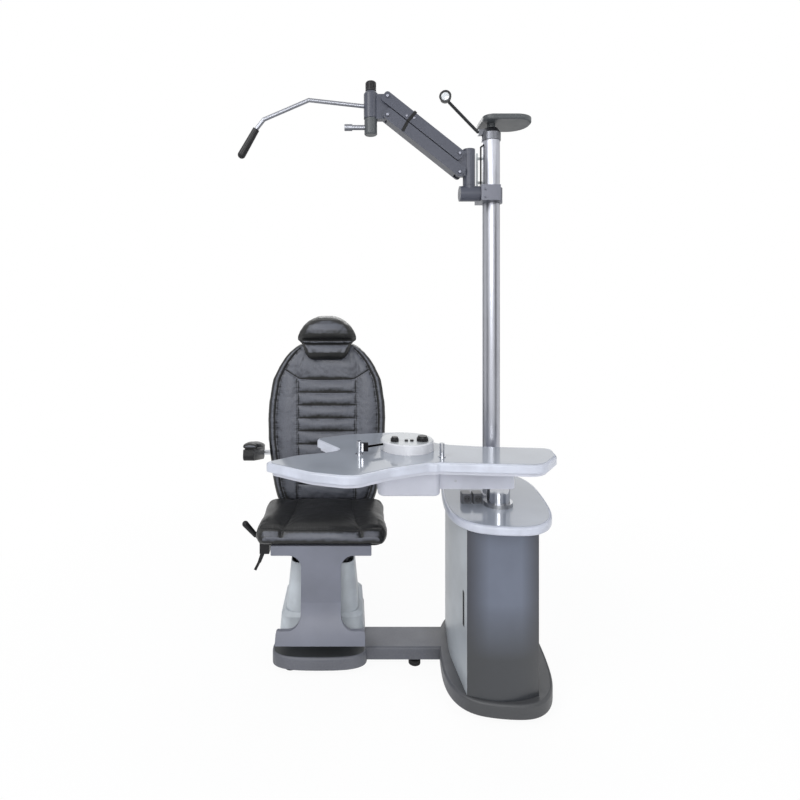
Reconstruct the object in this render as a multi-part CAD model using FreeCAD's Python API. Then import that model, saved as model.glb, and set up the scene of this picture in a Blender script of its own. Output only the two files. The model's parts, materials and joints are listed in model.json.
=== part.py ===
import FreeCAD, Part
import math
import os

# Examination chair with an instrument console, a swinging table and an overhead instrument arm.
# Millimetres, +Z up, origin on the floor under the chair's pedestal axis.
# +X runs from the chair to the console and the patient looks towards -Y.

V = FreeCAD.Vector
X_AXIS = V(1, 0, 0)
Y_AXIS = V(0, 1, 0)
Z_AXIS = V(0, 0, 1)

# Shared values
overrun = 5.0
running_gap = 0.05
slide_gap = 0.4
soft_gap = 0.4
body_gap = 0.5

# Floor base
foot_pad_radius = 22.5
foot_pad_height = 17.0
foot_neck_radius = 9.0
base_bottom = 25.0
base_height = 45.0
base_edge_radius = 9.0
chair_foot_half_x = 168.0
chair_foot_front = -140.0
chair_foot_back = 200.0
chair_foot_corner = 60.0
toe_x = -4.0
toe_y = -178.0
toe_half_x = 176.0
toe_half_y = 72.0
bar_front = -189.0
bar_back = -55.0
console_x = 628.0
cabinet_x = 611.0
plan_x = 632.0
plan_turn = -6.0
console_base_y = -214.0
console_base_half_x = 190.0
console_base_half_y = 262.0
foot_ring_inset = 34.0
chair_feet = ((-112.0, -190.0), (-110.0, 160.0), (120.0, 160.0))
console_feet_angles = (234.0, 306.0, 54.0, 126.0)
bar_foot_x = 352.0
bar_foot_inset = 22.0

# Chair pedestal
pedestal_corner = 46.0
pedestal_wall = 4.0
lower_cover_half_x = 166.0
lower_cover_half_y = 140.0
lower_cover_height = 79.0
lower_cover_draft = 7.0
upper_cover_half_x = 142.0
upper_cover_half_y = 120.0
upper_cover_height = 195.0
upper_cover_draft = 18.0
ledge_height = 14.0
outer_column_half = 74.0
column_wall = 5.0
outer_column_height = 226.0
inner_column_length = 300.0
column_plate = 8.0
carriage_half_x = 104.0
carriage_half_y = 90.0
carriage_height = 70.0
motor_radius = 30.0
motor_height = 190.0
ram_radius = 11.0

# Swivel and seat frame
seat_plane = 414.0
swivel_ring_radius = 110.0
swivel_ring_bore = 60.0
swivel_ring_height = 10.0
seat_frame_half_x = 175.0
seat_frame_front = -160.0
seat_frame_back = 250.0
seat_frame_height = 20.0
skirt_half_x = 236.0
skirt_front = -150.0
skirt_back = 178.0
skirt_height = 14.0
skirt_corner = 38.0

# Seat cushion
seat_half_x = 259.0
seat_front = -196.0
seat_back = 184.0
seat_thickness = 66.0
seat_crown = 9.0
seat_seam_half_x = 146.0
seat_seam_depth = 4.0

# Footrest
panel_thickness = 16.0
panel_front = -186.0
panel_top = 447.0
flange_half_x = 189.0
flange_height = 36.0
waist_half_x = 75.0
waist_fillet = 46.0
foot_half_x = 164.0
foot_bottom = 118.0
foot_height = 34.0
foot_forward = 72.0
foot_bend_top = 236.0
step_length = 74.0
step_thickness = 9.0
mat_thickness = 3.0
mat_inset = 10.0

# Backrest, in its own leaning frame: v is the height above the hinge line, d the depth from the front face
recline_y = 246.0
recline_z = 452.0
back_lean = 9.0
back_bottom = -6.0
back_height = 730.0
back_lip_gap = 7.0
shell_bottom = 50.0
back_half_x = 269.0
back_thickness = 56.0
back_crown = 10.0
rim_width = 34.0
side_panel_width = 78.0
seam_depth = 5.0
channel_depth = 6.0
yoke_drop = 175.0
channel_pitch = 58.0
channel_count = 8
shell_thickness = 24.0
shell_inset = 7.0
hinge_radius = 15.0
hinge_pin_radius = 8.0
hinge_knuckle = 26.0
hinge_x = 150.0
hinge_arm_thickness = 14.0
hinge_plate_height = 172.0
hinge_cross_height = 58.0

# Headrest, in the backrest's leaning frame
headrest_half_x = 139.0
headrest_lap = 83.0
headrest_crease_gap = 1.0
headrest_dome = 122.0
headrest_front = 64.0
headrest_back = 34.0
headrest_lobe_back = 3.0
headrest_post_radius = 6.0
headrest_post_x = 62.0
headrest_post_depth = 18.0
headrest_post_lap = 164.0
headrest_post_cover = 65.0

# Armrests
arm_pivot_y = 322.0
arm_pivot_z = 658.0
arm_spacer_radius = 11.0
arm_spacer_start = 250.0
arm_spacer_end = 298.0
arm_pin_radius = 7.0
arm_bracket_thickness = 44.0
arm_bracket_depth = 46.0
arm_edge_round = 5.0
arm_hub_radius = 30.0
arm_carrier_boss = 12.0
arm_tilt = 14.0
arm_bolt_head = 6.0
arm_boss_radius = 24.0
arm_pad_inner = 273.0
arm_pad_width = 77.0
arm_pad_front = 35.0
arm_pad_back = 255.0
arm_pad_bottom = 680.0
arm_pad_thickness = 30.0
arm_plate_thickness = 4.0
arm_bar_thickness = 5.0
arm_plate_inset = 14.0

# Levers under the seat's left edge
lever_y = -20.0
lever_z = 398.0
lever_shaft_radius = 7.0
lever_shaft_start = -178.0
recline_rod_radius = 6.0
recline_grip_radius = 12.5
recline_root_x = -258.0
recline_knee_length = 24.0
recline_grip_length = 66.0
lock_y = 52.0
lock_root_x = -226.0
lock_drop = 127.0
lock_reach = 47.0
lock_stem_length = 42.0
lock_paddle_width = 20.0
lock_paddle_thickness = 7.0
lock_rod_radius = 5.0
lever_cover_inner = -212.0
lever_cover_outer = -250.0
lever_cover_front = -72.0
lever_cover_back = 28.0
lever_cover_drop = 70.0
lever_cover_wall = 3.0

# Console
cabinet_front_half = 118.0
cabinet_mid_half = 138.0
cabinet_front_y = -433.0
cabinet_mid_y = -220.0
cabinet_height = 552.0
cabinet_wall = 3.0
front_bow = 28.0
front_panel_wall = 3.0
console_top_y = -220.0
console_top_half_x = 182.0
console_top_half_y = 286.0
console_top_thickness = 28.0
console_top_round = 8.0
inlay_inset = 9.0
inlay_thickness = 1.2
vent_width = 18.0
vent_height = 116.0
vent_bottom = 276.0
vent_y = -395.0
vent_plate = 2.0
vent_slots = 11
supply_half_x = 70.0
supply_depth = 90.0
supply_height = 130.0
supply_y = -90.0
inlet_width = 52.0
inlet_height = 28.0
inlet_depth = 26.0
inlet_z = 120.0
inlet_cavity_depth = 22.0
inlet_lip = 4.0

# Table lift column on the console
lift_y = -311.0
lift_radius = 40.0
guide_wall = 6.0
lift_tube_bottom = 330.0
lift_tube_wall = 4.0
lift_collar_radius = 50.0
lift_collar_height = 14.0
table_motor_radius = 26.0
table_motor_height = 200.0
table_ram_radius = 10.0
arm_box_clearance = 75.0
arm_box_height = 75.0
arm_box_start = 413.0
arm_box_end = 673.0
arm_box_front = -370.0
arm_box_depth = 98.0
arm_box_wall = 4.0
arm_box_round = 10.0
hub_box_drop = 16.0
hub_box_half_x = 105.0
hub_box_front = -400.0
hub_box_depth = 158.0
hub_box_round = 24.0

# Tabletop
table_x = 308.0
table_y = -321.0
bearing_radius = 62.0
bearing_bore = 30.0
bearing_height = 11.0
support_thickness = 13.0
support_inset = 12.0
top_thickness = 26.0
top_edge_round = 7.0
pivot_shaft_radius = 22.0
table_left = 478.0
table_right = 501.0
table_rear = 238.0
table_front = 303.0
post_radius = 8.0
post_height = 46.0
post_flange_radius = 13.0
post_flange_height = 4.0
left_post_x = -168.0
left_post_y = -79.0
right_post_x = 104.0
right_post_y = -106.0
link_block_x = 22.0
link_block_y = 18.0
link_block_z = 26.0
link_rod_radius = 4.0
link_rod_z = 26.0

# Control puck on the tabletop
puck_radius = 92.5
puck_side = 30.0
puck_height = 34.0
puck_top_radius = 88.0
dial_x = 50.0
dial_y = -30.0
dial_radius = 20.0
dial_height = 17.0
dial_shaft = 4.0
small_dial_x = -46.0
small_dial_y = -36.0
small_dial_radius = 14.0
small_dial_height = 15.0
button_radius = 6.0
button_height = 5.0
button_travel = 2.0
button_x = -6.0
button_y = -34.0
button_pitch = 19.0
button_count = 2
button_well = 9.0

# Main column
column_x = 626.0
column_y = -226.0
column_radius = 31.0
column_tube_wall = 3.0
column_top = 1969.0
column_foot_radius = 34.5
column_foot_height = 12.0
cap_height = 27.0
cap_low_radius = 34.5
cap_high_radius = 23.0
cap_socket = 18.0
tray_post_radius = 15.0
tray_bottom = 2012.0
tray_thickness = 18.0
tray_wall = 3.0
tray_left = 588.0
tray_right = 772.0
tray_front = -289.0
tray_back = -136.0
tray_corner = 34.0
socket_x = 540.0
socket_y = -287.0
socket_pitch = 39.0
socket_half_x = 17.0
socket_half_y = 20.0
socket_height = 36.0

# Lamp on a gooseneck
lamp_x = 449.0
lamp_y = -262.0
lamp_z = 2096.0
lamp_radius = 21.5
lamp_depth = 34.0
lamp_wall = 3.0
lamp_tilt = 12.0
lens_thickness = 4.0
neck_radius = 6.0
neck_rib = 0.9
neck_bore = 3.6
neck_pitch = 5.0
neck_root_x = 579.0
neck_root_z = 1982.0
neck_plain = 12.0
lamp_ball_radius = 9.0

# Overhead instrument arm
arm_y = -270.0
hub_x = 535.0
hub_radius = 21.5
hub_bottom = 1778.0
hub_top = 1907.0
bracket_bottom = 1721.0
bracket_top = 1776.0
bracket_left = 501.0
clamp_half_y = 30.0
hub_pin_radius = 10.0
pivot_right_x = 497.0
pivot_left_x = 242.0
pivot_low_z = 1821.0
pivot_spacing = 66.0
pivot_rise = 202.5
link_half_y = 27.0
link_wall = 3.0
link_margin = 15.0
link_reach_share = 0.47
link_pin_radius = 5.0
link_pin_head = 7.5
link_pin_head_height = 2.5
lug_half_y = 16.0
lug_margin = 11.0
lug_notch = 9.0
spring_radius = 9.0
head_x = 183.4
head_radius = 25.2
head_bottom = 2017.0
head_top = 2114.0
head_chamfer = 9.0
spindle_radius = 23.0
spindle_height = 58.0
spindle_pin_radius = 9.0
knob_radius = 19.4
knob_height = 34.0
knob_gap = 1.0
knob_flutes = 12
knob_flute_radius = 2.2
instrument_pin_z = 1986.0
instrument_pin_radius = 9.0
instrument_pin_end = 89.0
instrument_pin_tip_radius = 12.0
instrument_pin_tip_length = 28.0
handle_radius = 7.5
handle_root_z = 2060.5
grip_radius = 14.0
grip_length = 105.0
cable_radius = 3.0
cable_stand_off = 9.0


def box(low_x, high_x, low_y, high_y, low_z, high_z):
    size = (high_x - low_x, high_y - low_y, high_z - low_z)
    return Part.makeBox(*size, V(low_x, low_y, low_z))


def rod(radius, start, end):
    along = end - start
    return Part.makeCylinder(radius, along.Length, start, along)


def cone(radius_start, radius_end, start, end):
    along = end - start
    return Part.makeCone(radius_start, radius_end, along.Length, start, along)


def ring(outer, inner, start, end):
    step = (end - start).normalize() * overrun
    return rod(outer, start, end).cut(rod(inner, start - step, end + step))


def level(z):
    """A plane mapping for outlines: u runs along X and v along Y at the given height."""
    return lambda u, v: V(u, v, z)


def upright(y):
    """u runs along X and v along Z."""
    return lambda u, v: V(u, y, v)


def sideways(x):
    """u runs along Y and v along Z."""
    return lambda u, v: V(x, u, v)


def rounded_wire(points, radii, place):
    """A closed outline of straight runs joined by tangent arcs, one radius for each corner."""
    corners = [V(u, v, 0) for u, v in points]
    if not isinstance(radii, (list, tuple)):
        radii = [radii] * len(corners)
    edges = []
    joins = []
    for i, corner in enumerate(corners):
        before = corners[i - 1] - corner
        after = corners[(i + 1) % len(corners)] - corner
        half = before.getAngle(after) / 2
        room = 0.49 * min(before.Length, after.Length)
        if radii[i] <= 0 or abs(half - math.pi / 2) < 0.001:
            joins.append((corner, corner, corner))
            continue
        reach = min(radii[i] / math.tan(half), room)
        radius = reach * math.tan(half)
        before.normalize()
        after.normalize()
        middle = (before + after).normalize()
        centre = corner + middle * (radius / math.sin(half))
        joins.append((corner + before * reach, centre - middle * radius, corner + after * reach))
    for i, (start, top, end) in enumerate(joins):
        last = joins[i - 1][2]
        if (start - last).Length > 0.0001 * (corners[i] - corners[i - 1]).Length:
            edges.append(Part.LineSegment(place(last.x, last.y), place(start.x, start.y)).toShape())
        if (end - start).Length > 0:
            arc = Part.Arc(place(start.x, start.y), place(top.x, top.y), place(end.x, end.y))
            edges.append(arc.toShape())
    return Part.Wire(edges)


def slab(points, radii, low, high):
    wire = rounded_wire(points, radii, level(low))
    return Part.Face(wire).extrude(V(0, 0, high - low))


def rectangle(half_x, half_y, centre_x=0.0, centre_y=0.0):
    return [(centre_x - half_x, centre_y - half_y), (centre_x + half_x, centre_y - half_y),
            (centre_x + half_x, centre_y + half_y), (centre_x - half_x, centre_y + half_y)]


def square_oval(half_x, half_y, centre_x, centre_y, low, high):
    """An oval block whose plan is a little squarer than an ellipse."""
    power_share = 2 / 3
    count = 32
    points = []
    for n in range(count):
        turn = 2 * math.pi * (n + 0.5) / count
        across = math.copysign(abs(math.cos(turn)) ** power_share, math.cos(turn))
        along = math.copysign(abs(math.sin(turn)) ** power_share, math.sin(turn))
        points.append(V(centre_x + half_x * across, centre_y + half_y * along, low))
    curve = Part.BSplineCurve()
    curve.interpolate(Points=points, PeriodicFlag=True)
    return Part.Face(Part.Wire(curve.toShape())).extrude(V(0, 0, high - low))


def plan_turned(shape):
    """Turns the console's base or top a little, away from the chair at the back."""
    moved = shape.copy()
    moved.rotate(V(plan_x, console_top_y, 0), Z_AXIS, plan_turn)
    return moved


def drafted(half_x, half_y, corner, draft, low, high):
    """A rounded rectangular block whose sides lean in by the draft towards its top."""
    bottom = rounded_wire(rectangle(half_x, half_y), corner, level(low))
    top = rounded_wire(rectangle(half_x - draft, half_y - draft), corner - draft / 2, level(high))
    return Part.makeLoft([bottom, top], True, True)


def edges_at(shape, z):
    """The edges that lie wholly at one height."""
    slack = running_gap
    return [e for e in shape.Edges
            if abs(e.BoundBox.ZMin - z) < slack and abs(e.BoundBox.ZMax - z) < slack]


def fuse(first, *others):
    return first.multiFuse(list(others)).removeSplitter()


def sheared_arc(start, end, rise, place):
    """An arc between two points of a plane whose middle stands off their chord."""
    middle_u = (start[0] + end[0]) / 2 + rise[0]
    middle_v = (start[1] + end[1]) / 2 + rise[1]
    return Part.Arc(place(*start), place(middle_u, middle_v), place(*end)).toShape()


base_top = base_bottom + base_height
console_top_bottom = base_top + cabinet_height
console_top_level = console_top_bottom + console_top_thickness
arm_box_bottom = console_top_level + arm_box_clearance
arm_box_top = arm_box_bottom + arm_box_height
hub_box_bottom = arm_box_bottom - hub_box_drop
support_bottom = arm_box_top + bearing_height
top_bottom = support_bottom + support_thickness
table_level = top_bottom + top_thickness
seat_bottom = seat_plane + seat_frame_height + skirt_height + soft_gap
swivel_bottom = seat_plane - swivel_ring_height
back_top = back_bottom + back_height
channel_top = back_top - yoke_drop
headrest_bottom = back_top - headrest_lap
headrest_crease = back_top + headrest_crease_gap
headrest_top = headrest_crease + headrest_dome
headrest_post_bottom = back_top - headrest_post_lap
headrest_post_top = headrest_top - headrest_post_cover


def foot_places():
    places = [(0.0, 0.0)] + list(chair_feet)
    reach_x = console_base_half_x - foot_ring_inset
    reach_y = console_base_half_y - foot_ring_inset
    for angle in console_feet_angles:
        turn = math.radians(angle)
        places.append((plan_x + reach_x * math.cos(turn), console_base_y + reach_y * math.sin(turn)))
    places.append((bar_foot_x, bar_front + bar_foot_inset))
    places.append((bar_foot_x, bar_back - bar_foot_inset))
    return places


def floor_base():
    heel = slab([(-chair_foot_half_x, chair_foot_front), (chair_foot_half_x, chair_foot_front),
                 (chair_foot_half_x, chair_foot_back), (-chair_foot_half_x, chair_foot_back)],
                chair_foot_corner, base_bottom, base_top)
    toe = square_oval(toe_half_x, toe_half_y, toe_x, toe_y, base_bottom, base_top)
    bar = box(0, console_x, bar_front, bar_back, base_bottom, base_top)
    oval_foot = square_oval(console_base_half_x, console_base_half_y, plan_x, console_base_y,
                            base_bottom, base_top)
    oval_foot = plan_turned(oval_foot)
    rounded = []
    for piece in (heel, toe, bar, oval_foot):
        rounded.append(piece.makeFillet(base_edge_radius, edges_at(piece, base_top)))
    return fuse(*rounded)


def levelling_feet():
    feet = []
    for x, y in foot_places():
        pad = rod(foot_pad_radius, V(x, y, 0), V(x, y, foot_pad_height))
        neck = rod(foot_neck_radius, V(x, y, foot_pad_height), V(x, y, base_bottom))
        feet.append(pad.fuse(neck))
    return Part.makeCompound(feet)


def pedestal_lower_cover():
    low = base_top
    high = base_top + lower_cover_height
    outer = drafted(lower_cover_half_x, lower_cover_half_y, pedestal_corner, lower_cover_draft, low, high)
    ledge = drafted(lower_cover_half_x - lower_cover_draft, lower_cover_half_y - lower_cover_draft,
                    pedestal_corner - lower_cover_draft, ledge_height, high, high + ledge_height)
    inner_x = upper_cover_half_x + body_gap
    inner_y = upper_cover_half_y + body_gap
    hollow = slab(rectangle(inner_x, inner_y), pedestal_corner, low - overrun, high + ledge_height + overrun)
    return outer.fuse(ledge).cut(hollow)


def pedestal_upper_cover():
    low = base_top
    high = base_top + lower_cover_height + upper_cover_height
    straight_top = base_top + lower_cover_height + ledge_height
    straight = slab(rectangle(upper_cover_half_x, upper_cover_half_y), pedestal_corner, low, straight_top)
    leaning = drafted(upper_cover_half_x, upper_cover_half_y, pedestal_corner, upper_cover_draft,
                      straight_top, high)
    inner_x = upper_cover_half_x - pedestal_wall
    inner_y = upper_cover_half_y - pedestal_wall
    inner_corner = pedestal_corner - pedestal_wall
    hollow_low = slab(rectangle(inner_x, inner_y), inner_corner, low - overrun, straight_top)
    hollow_high = drafted(inner_x, inner_y, inner_corner, upper_cover_draft, straight_top, high + overrun)
    return straight.fuse(leaning).cut(hollow_low.fuse(hollow_high))


def chair_lift_outer():
    inner = outer_column_half - column_wall
    high = base_top + outer_column_height
    tube = box(-outer_column_half, outer_column_half, -outer_column_half, outer_column_half, base_top, high)
    return tube.cut(box(-inner, inner, -inner, inner, base_top - overrun, high + overrun))


def chair_lift_inner():
    """The rising tube, its head plate and the dark carriage box that shows above the covers."""
    half = outer_column_half - column_wall - slide_gap
    inner = half - column_wall
    top = swivel_bottom - column_plate
    bottom = top - inner_column_length
    tube = box(-half, half, -half, half, bottom, top)
    tube = tube.cut(box(-inner, inner, -inner, inner, bottom - overrun, top + overrun))
    plate = slab(rectangle(carriage_half_x, carriage_half_y), column_plate, top, swivel_bottom)
    return fuse(tube, plate)


def chair_carriage():
    """A sheet-metal skirt hanging from the head plate around the column."""
    top = swivel_bottom - column_plate
    outer = slab(rectangle(carriage_half_x, carriage_half_y), column_plate, top - carriage_height, top)
    inner = slab(rectangle(carriage_half_x - pedestal_wall, carriage_half_y - pedestal_wall),
                 column_plate - pedestal_wall, top - carriage_height - overrun, top + overrun)
    return outer.cut(inner)


def chair_motor():
    body = rod(motor_radius, V(0, 0, base_top), V(0, 0, base_top + motor_height))
    bore = rod(ram_radius + running_gap, V(0, 0, base_top + motor_radius),
               V(0, 0, base_top + motor_height + overrun))
    return body.cut(bore)


def chair_ram():
    return rod(ram_radius, V(0, 0, base_top + motor_height - motor_radius),
               V(0, 0, swivel_bottom - column_plate))


def swivel_bearing():
    half = swivel_ring_height / 2
    return ring(swivel_ring_radius - column_plate, swivel_ring_bore,
                V(0, 0, swivel_bottom), V(0, 0, swivel_bottom + half))


def swivel_plate():
    half = swivel_ring_height / 2
    return ring(swivel_ring_radius, swivel_ring_bore, V(0, 0, swivel_bottom + half), V(0, 0, seat_plane))


def seat_frame():
    """The welded frame: two side rails, cross members and the rear hinge ears."""
    low = seat_plane
    high = seat_plane + seat_frame_height
    plate_x = seat_frame_half_x
    outer = box(-plate_x, plate_x, seat_frame_front, seat_frame_back - hinge_radius, low, high)
    ears = []
    for side in (-1, 1):
        start = side * (hinge_x - hinge_arm_thickness / 2)
        points = [(seat_frame_back - hinge_knuckle * 2, low), (recline_y + hinge_radius, low),
                  (recline_y + hinge_radius, recline_z + hinge_radius),
                  (recline_y - hinge_radius, recline_z + hinge_radius),
                  (recline_y - hinge_radius, high), (seat_frame_back - hinge_knuckle * 2, high)]
        radii = [0, hinge_radius / 2, hinge_radius, hinge_radius, 0, 0]
        face = Part.Face(rounded_wire(points, radii, sideways(start)))
        ears.append(face.extrude(V(side * hinge_arm_thickness, 0, 0)))
    frame = fuse(outer, *ears)
    hole = hinge_pin_radius + running_gap
    frame = frame.cut(rod(hole, V(-seat_half_x, recline_y, recline_z), V(seat_half_x, recline_y, recline_z)))
    return frame.cut(rod(swivel_ring_bore, V(0, 0, low - overrun), V(0, 0, high + overrun)))


def seat_skirt():
    """The black moulded pan under the cushion, with a cover round the recline lever's shaft."""
    low = seat_plane + seat_frame_height
    centre = (skirt_front + skirt_back) / 2
    points = rectangle(skirt_half_x, (skirt_back - skirt_front) / 2, 0.0, centre)
    pan = slab(points, skirt_corner, low, low + skirt_height)
    wall = lever_cover_wall
    foot = low - lever_cover_drop
    cover = box(lever_cover_outer, lever_cover_inner, lever_cover_front, lever_cover_back, foot,
                low + skirt_height)
    cavity = box(lever_cover_outer + wall, lever_cover_inner - wall, lever_cover_front + wall,
                 lever_cover_back - wall, foot - overrun, low)
    hole = rod(lever_shaft_radius + body_gap, V(lever_cover_outer - overrun, lever_y, lever_z),
               V(lever_cover_inner + overrun, lever_y, lever_z))
    return fuse(pan, cover).cut(cavity).cut(hole)


def cushion_section(half, low, high, crown, round_share, seam_x, seam, y):
    """A closed section across the seat: flat below, round sides and three crowned panels on top."""
    place = upright(y)
    side = (high - low) * round_share
    shoulder = half - side
    seam_at = min(seam_x, shoulder * 0.9)
    floor_half = half - side * 0.6
    edges = [Part.LineSegment(place(-floor_half, low), place(floor_half, low)).toShape()]
    edges.append(sheared_arc((floor_half, low), (shoulder, high), (side * 0.62, 0), place))
    edges.append(sheared_arc((shoulder, high), (seam_at, high - seam), (0, crown / 2), place))
    edges.append(sheared_arc((seam_at, high - seam), (-seam_at, high - seam), (0, crown), place))
    edges.append(sheared_arc((-seam_at, high - seam), (-shoulder, high), (0, crown / 2), place))
    edges.append(sheared_arc((-shoulder, high), (-floor_half, low), (-side * 0.62, 0), place))
    return Part.Wire(edges)


def seat_cushion():
    """Lofted from front to back; the sides draw in between the corners and the front rolls over."""
    length = seat_back - seat_front
    along_shares = (0.0, 0.035, 0.1, 0.22, 0.45, 0.7, 0.88, 0.96, 1.0)
    width_shares = (0.86, 0.935, 0.985, 1.0, 0.975, 0.985, 1.0, 0.95, 0.9)
    height_shares = (0.42, 0.74, 0.92, 1.0, 0.91, 0.82, 0.74, 0.64, 0.44)
    lift_shares = (0.2, 0.06, 0.0, 0.0, 0.0, 0.0, 0.0, 0.03, 0.1)
    sections = []
    for along, wide, tall, lift in zip(along_shares, width_shares, height_shares, lift_shares):
        low = seat_bottom + lift * seat_thickness
        high = seat_bottom + tall * seat_thickness + seat_crown
        sections.append(cushion_section(wide * seat_half_x, low, high, seat_crown * tall, 0.45,
                                        seat_seam_half_x, seat_seam_depth * tall,
                                        seat_front + along * length))
    return Part.makeLoft(sections, True, True)


def footrest_outline():
    """Half of the I shape, top to bottom, as (half width, height) with its corner radii."""
    flange_low = panel_top - flange_height
    points = [(-flange_half_x, panel_top), (-flange_half_x, flange_low), (-waist_half_x, flange_low),
              (-waist_half_x, foot_bottom + foot_height), (-foot_half_x, foot_bottom + foot_height),
              (-foot_half_x, foot_bottom)]
    radii = [panel_thickness / 4, panel_thickness / 4, waist_fillet, waist_fillet, panel_thickness / 2, 0]
    mirrored = [(-x, z) for x, z in reversed(points)]
    return points + mirrored, radii + list(reversed(radii))


def footrest_panel():
    """A curved board: the I outline cut from a sheet whose lower end sweeps forward."""
    outline, radii = footrest_outline()
    front = panel_front - foot_forward - panel_thickness - overrun
    cutter = Part.Face(rounded_wire(outline, radii, upright(front)))
    cutter = cutter.extrude(V(0, foot_forward + panel_thickness * 4 + overrun, 0))
    top = panel_top
    bend = foot_bend_top
    low = foot_bottom
    place = sideways(-flange_half_x)
    back = panel_front + panel_thickness
    bow = foot_forward * 0.2
    front_low = panel_front - foot_forward
    back_low = back - foot_forward
    edges = [Part.LineSegment(place(panel_front, top), place(panel_front, bend)).toShape(),
             sheared_arc((panel_front, bend), (front_low, low), (bow, 0), place),
             Part.LineSegment(place(front_low, low), place(back_low, low)).toShape(),
             sheared_arc((back_low, low), (back, bend), (bow, 0), place),
             Part.LineSegment(place(back, bend), place(back, top)).toShape(),
             Part.LineSegment(place(back, top), place(panel_front, top)).toShape()]
    sheet = Part.Face(Part.Wire(edges)).extrude(V(2 * flange_half_x, 0, 0))
    return sheet.common(cutter)


def footrest_brackets():
    """Two straps that join the board to the seat frame."""
    straps = []
    for side in (-1, 1):
        inner = side * waist_half_x
        outer = inner + side * lock_paddle_width
        straps.append(box(min(inner, outer), max(inner, outer), panel_front + panel_thickness,
                          seat_frame_front, seat_plane, seat_plane + seat_frame_height))
    return Part.makeCompound(straps)


def footrest_step():
    """The foot plate behind the board's lower edge."""
    back = panel_front + panel_thickness - foot_forward
    points = rectangle(foot_half_x - mat_inset, step_length / 2, 0.0, back + step_length / 2)
    plate = slab(points, [0, 0, mat_inset, mat_inset], foot_bottom, foot_bottom + step_thickness)
    return plate.cut(swivel_clearance(0.0)).cut(footrest_panel())


def swivel_clearance(margin):
    """The upright cylinder that the pedestal's cover stays inside while the seat swivels."""
    reach = math.hypot(lower_cover_half_x - pedestal_corner, lower_cover_half_y - pedestal_corner)
    radius = reach + pedestal_corner + pedestal_wall + margin
    return rod(radius, V(0, 0, base_top), V(0, 0, seat_plane))


def footrest_mat():
    back = panel_front + panel_thickness - foot_forward
    low = foot_bottom + step_thickness
    points = rectangle(foot_half_x - 2 * mat_inset, step_length / 2 - mat_inset, 0.0,
                       back + step_length / 2 + mat_inset / 2)
    mat = slab(points, mat_inset / 2, low, low + mat_thickness)
    return mat.cut(swivel_clearance(mat_inset / 2)).cut(footrest_panel())


def lean(shape):
    """Moves a shape from the backrest's own frame (hinge line at the origin) to its place."""
    moved = shape.copy()
    moved.rotate(V(0, 0, 0), X_AXIS, -back_lean)
    moved.translate(V(0, recline_y, recline_z))
    return moved


def back_half_width(share):
    """The backrest's half width at a share of its height, as a share of the widest place."""
    heights_shares = (0.0, 0.03, 0.12, 0.395, 0.527, 0.622, 0.764, 0.877, 0.953, 0.986, 1.0)
    widths_shares = (0.66, 0.8, 0.88, 0.985, 1.0, 0.99, 0.935, 0.79, 0.62, 0.51, 0.42)
    for i in range(len(heights_shares) - 1):
        if share <= heights_shares[i + 1]:
            part = (share - heights_shares[i]) / (heights_shares[i + 1] - heights_shares[i])
            return widths_shares[i] + part * (widths_shares[i + 1] - widths_shares[i])
    return widths_shares[-1]


def back_section(v, half, depth, crown, seam, channel):
    """Across the backrest at height v: a rounded rim, side panels and a channelled centre."""
    place = level(v)
    front = -depth
    rim = min(rim_width, half * 0.3)
    panel = min(side_panel_width, half * 0.3)
    rim_x = half - rim
    seam_x = rim_x - panel
    low = (half - rim * 0.4, 0)
    side = (half, front * 0.55)
    rim_in = (rim_x, front + seam)
    seam_in = (seam_x, front + seam)
    edges = [Part.LineSegment(place(-low[0], 0), place(*low)).toShape()]
    edges.append(sheared_arc(low, side, (rim * 0.14, 0), place))
    edges.append(sheared_arc(side, rim_in, (rim * 0.24, -depth * 0.24), place))
    edges.append(sheared_arc(rim_in, seam_in, (0, -crown * 0.5), place))
    edges.append(sheared_arc(seam_in, (-seam_x, front + seam), (0, channel - crown), place))
    edges.append(sheared_arc((-seam_x, front + seam), (-rim_x, front + seam), (0, -crown * 0.5), place))
    edges.append(sheared_arc((-rim_x, front + seam), (-side[0], side[1]), (-rim * 0.24, -depth * 0.24),
                             place))
    edges.append(sheared_arc((-side[0], side[1]), (-low[0], 0), (-rim * 0.14, 0), place))
    return Part.Wire(edges)


def back_levels():
    """Heights of the backrest's sections, each with its channel draw-in as a share."""
    plain_shares = (0.0, 0.012, 0.035, 0.08, 0.16, 0.26, 0.36)
    start = channel_top - channel_pitch * (channel_count - 1) - back_bottom
    levels = [(share * back_height, 0.0) for share in plain_shares
              if share * back_height < start - channel_pitch * 0.45]
    for n in range(channel_count):
        valley = start + n * channel_pitch
        for step_share, draw_share in ((-0.3, 0.15), (-0.1, 0.7), (0.0, 1.0), (0.1, 0.7), (0.3, 0.15)):
            levels.append((valley + step_share * channel_pitch, draw_share))
        if n < channel_count - 1:
            levels.append((valley + channel_pitch / 2, 0.0))
    top_shares = (0.85, 0.9, 0.94, 0.97, 0.99, 1.0)
    levels += [(share * back_height, 0.0) for share in top_shares]
    return levels


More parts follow.
